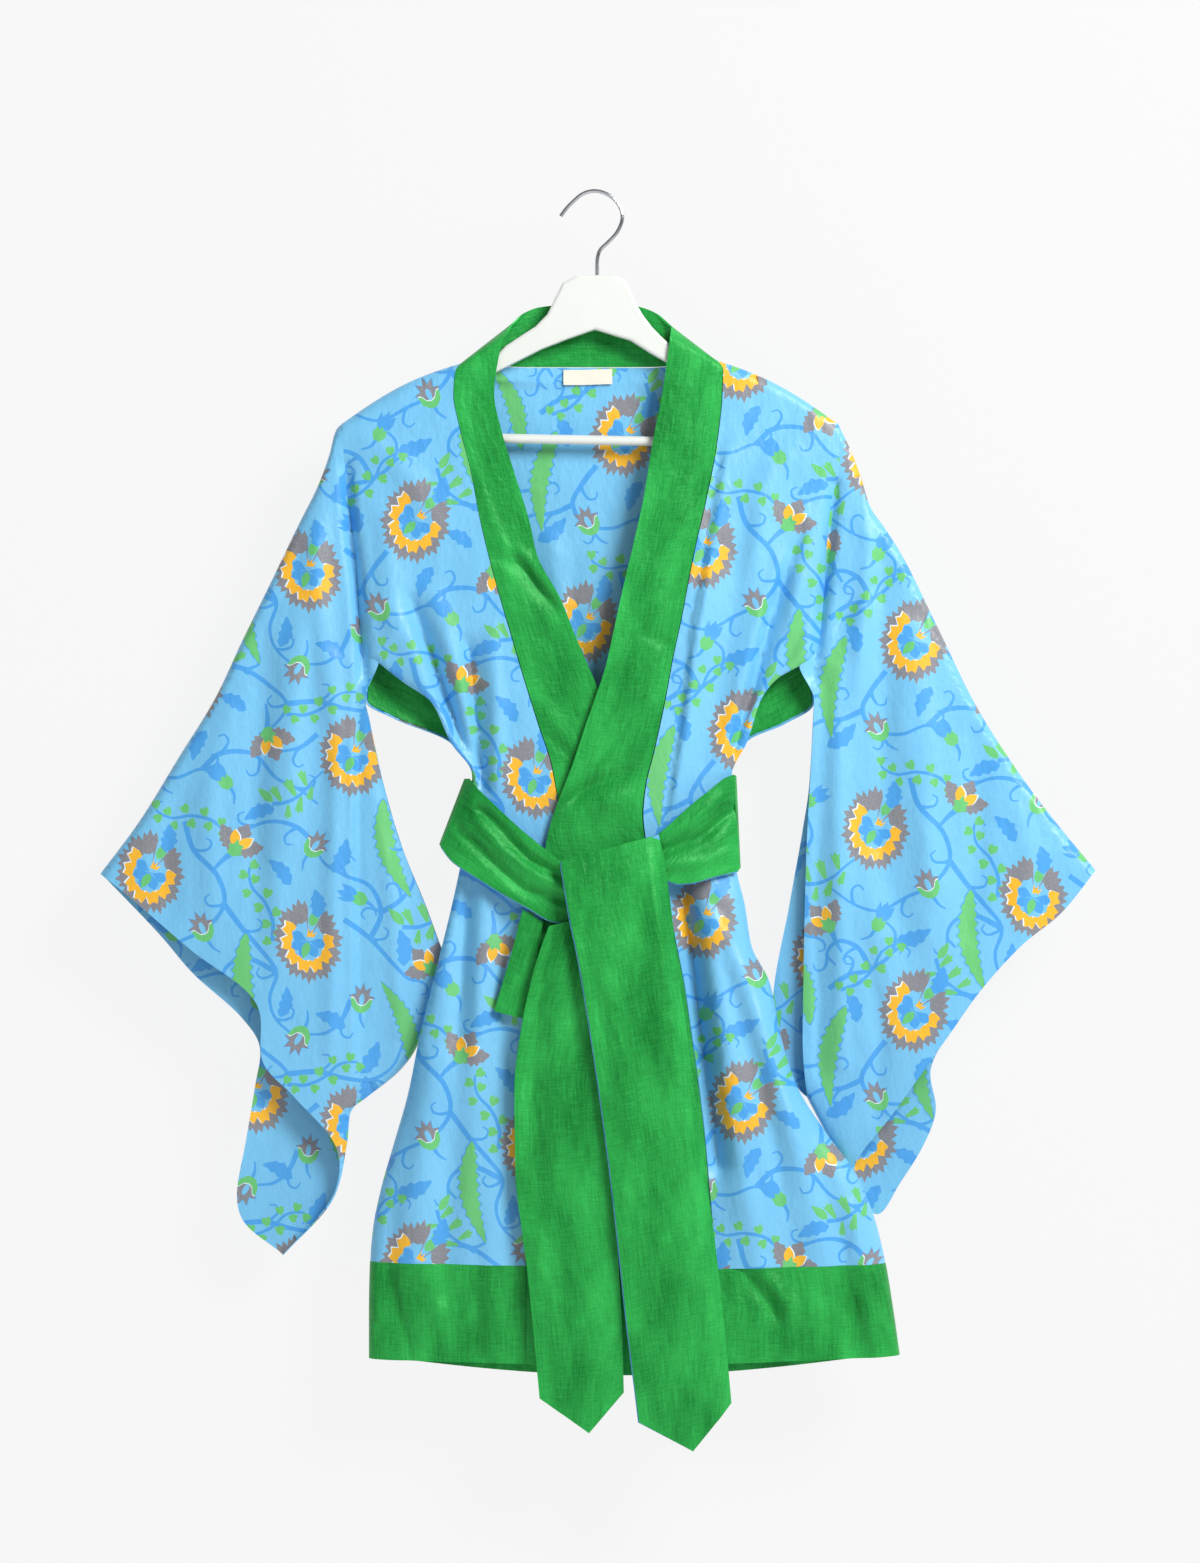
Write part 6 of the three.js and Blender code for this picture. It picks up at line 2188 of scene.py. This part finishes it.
# ---------- the hanger
@dataclass
class Hanger:
    """The hanger: its CAD solids keep their shape and get their finishes."""

    paint: PaintedWood = field(default_factory=PaintedWood)
    wire: BrightWire = field(default_factory=BrightWire)

    def build(self) -> None:
        """Puts the finishes on the hanger's solids."""
        for node in ("hanger_body", "hanger_bar"):
            self._dress(node, self.paint)
        self._dress("hanger_hook", self.wire)

    @staticmethod
    def _dress(node: str, finish: Finish) -> None:
        """Gives a CAD node a finish."""
        for slot in bpy.data.objects[node].material_slots:
            slot.material = finish.material()
        log.info("%s: %s", node, finish.name)


# ---------- the stage
@dataclass
class Stage:
    """A white wall close behind, a pale floor, a large soft light from the upper right and the camera."""

    wall_y: float = 0.075
    floor_z: float = -1.45
    half: float = 6.0
    middle_z: float = -0.58
    key_watts: float = 109.0
    fill_watts: float = 5.0
    sky: float = 0.24
    camera_at: tuple[float, float, float] = (0.0032, -5.0, -0.5414)
    focal_length: float = 125.2

    def build(self) -> None:
        """Sets the stage."""
        self._plane("wall", Plaster(name="wall_plaster", one_sided=True), self.wall_y, math.pi / 2)
        self._plane("floor", Plaster(name="floor_plaster", white=0.5, glow=0.35), self.floor_z, 0.0)
        self._light("key", (1.7, -2.1, 1.2), 1.2, self.key_watts)
        self._light("fill", (-1.8, -2.2, -0.9), 2.4, self.fill_watts)
        self._world()
        self._camera()

    def _plane(self, name: str, finish: Plaster, place: float, turn: float) -> None:
        """Makes the wall, turned upright at a depth, or the floor, at a height."""
        mesh = bpy.data.meshes.new(name)
        corners = [(x * self.half, y * self.half, 0) for x, y in ((-1, -1), (1, -1), (1, 1), (-1, 1))]
        mesh.from_pydata(corners, [], [(0, 1, 2, 3)])
        mesh.materials.append(finish.material())
        plane = bpy.data.objects.new(name, mesh)
        plane.rotation_euler = (turn, 0, 0)
        plane.location = (0, place, -0.6) if turn else (0, 0, place)
        bpy.context.scene.collection.objects.link(plane)

    def _light(self, name: str, place: tuple[float, float, float], size: float, watts: float) -> None:
        """Hangs a square soft light that faces the kimono."""
        light = bpy.data.lights.new(name, "AREA")
        light.shape = "SQUARE"
        light.size = size
        light.energy = watts
        lamp = bpy.data.objects.new(name, light)
        lamp.location = place
        aim = Vector((0, 0, self.middle_z)) - Vector(place)
        lamp.rotation_euler = aim.to_track_quat("-Z", "Y").to_euler()
        bpy.context.scene.collection.objects.link(lamp)

    def _world(self) -> None:
        """Fills the room with even white light."""
        world = bpy.data.worlds.new("room")
        world.use_nodes = True
        light = world.node_tree.nodes["Background"].inputs
        light["Color"].default_value = (1, 1, 1, 1)
        light["Strength"].default_value = self.sky
        scene = bpy.context.scene
        scene.world = world
        scene.view_settings.view_transform = "Standard"

    def _camera(self) -> None:
        """Sets the camera level and straight in front."""
        lens = bpy.data.cameras.new("camera")
        lens.lens = self.focal_length
        lens.sensor_width = 36
        lens.clip_end = 50
        camera = bpy.data.objects.new("camera", lens)
        camera.location = self.camera_at
        camera.rotation_euler = (math.pi / 2, 0, 0)
        bpy.context.scene.collection.objects.link(camera)
        bpy.context.scene.camera = camera


# ---------- all of it
def main() -> None:
    """Builds the kimono, its sash and its hanger on their stage."""
    logging.basicConfig(level=logging.INFO, format="%(name)s: %(message)s")
    Stage().build()
    Hanger().build()
    printer = Printer(BlockPrint())
    silk = PrintedSilk()
    Robe(printer, silk).build()
    for sleeve in (
        Sleeve("right", FRONT_RIGHT, -1, SLEEVE_RIGHT, 13, ((-470, -560), (-520, -700)), SLEEVE_RIGHT_CREASES,
               (-213.5, -466), ARMHOLE_RIGHT),
        Sleeve("left", FRONT_LEFT, 1, SLEEVE_LEFT, 18, ((196, -520), (150, -640)), SLEEVE_LEFT_CREASES,
               (199.5, -465), ARMHOLE_LEFT),
    ):
        sleeve.build(printer, silk)
    Sash().build()


if __name__ == "__main__":
    main()
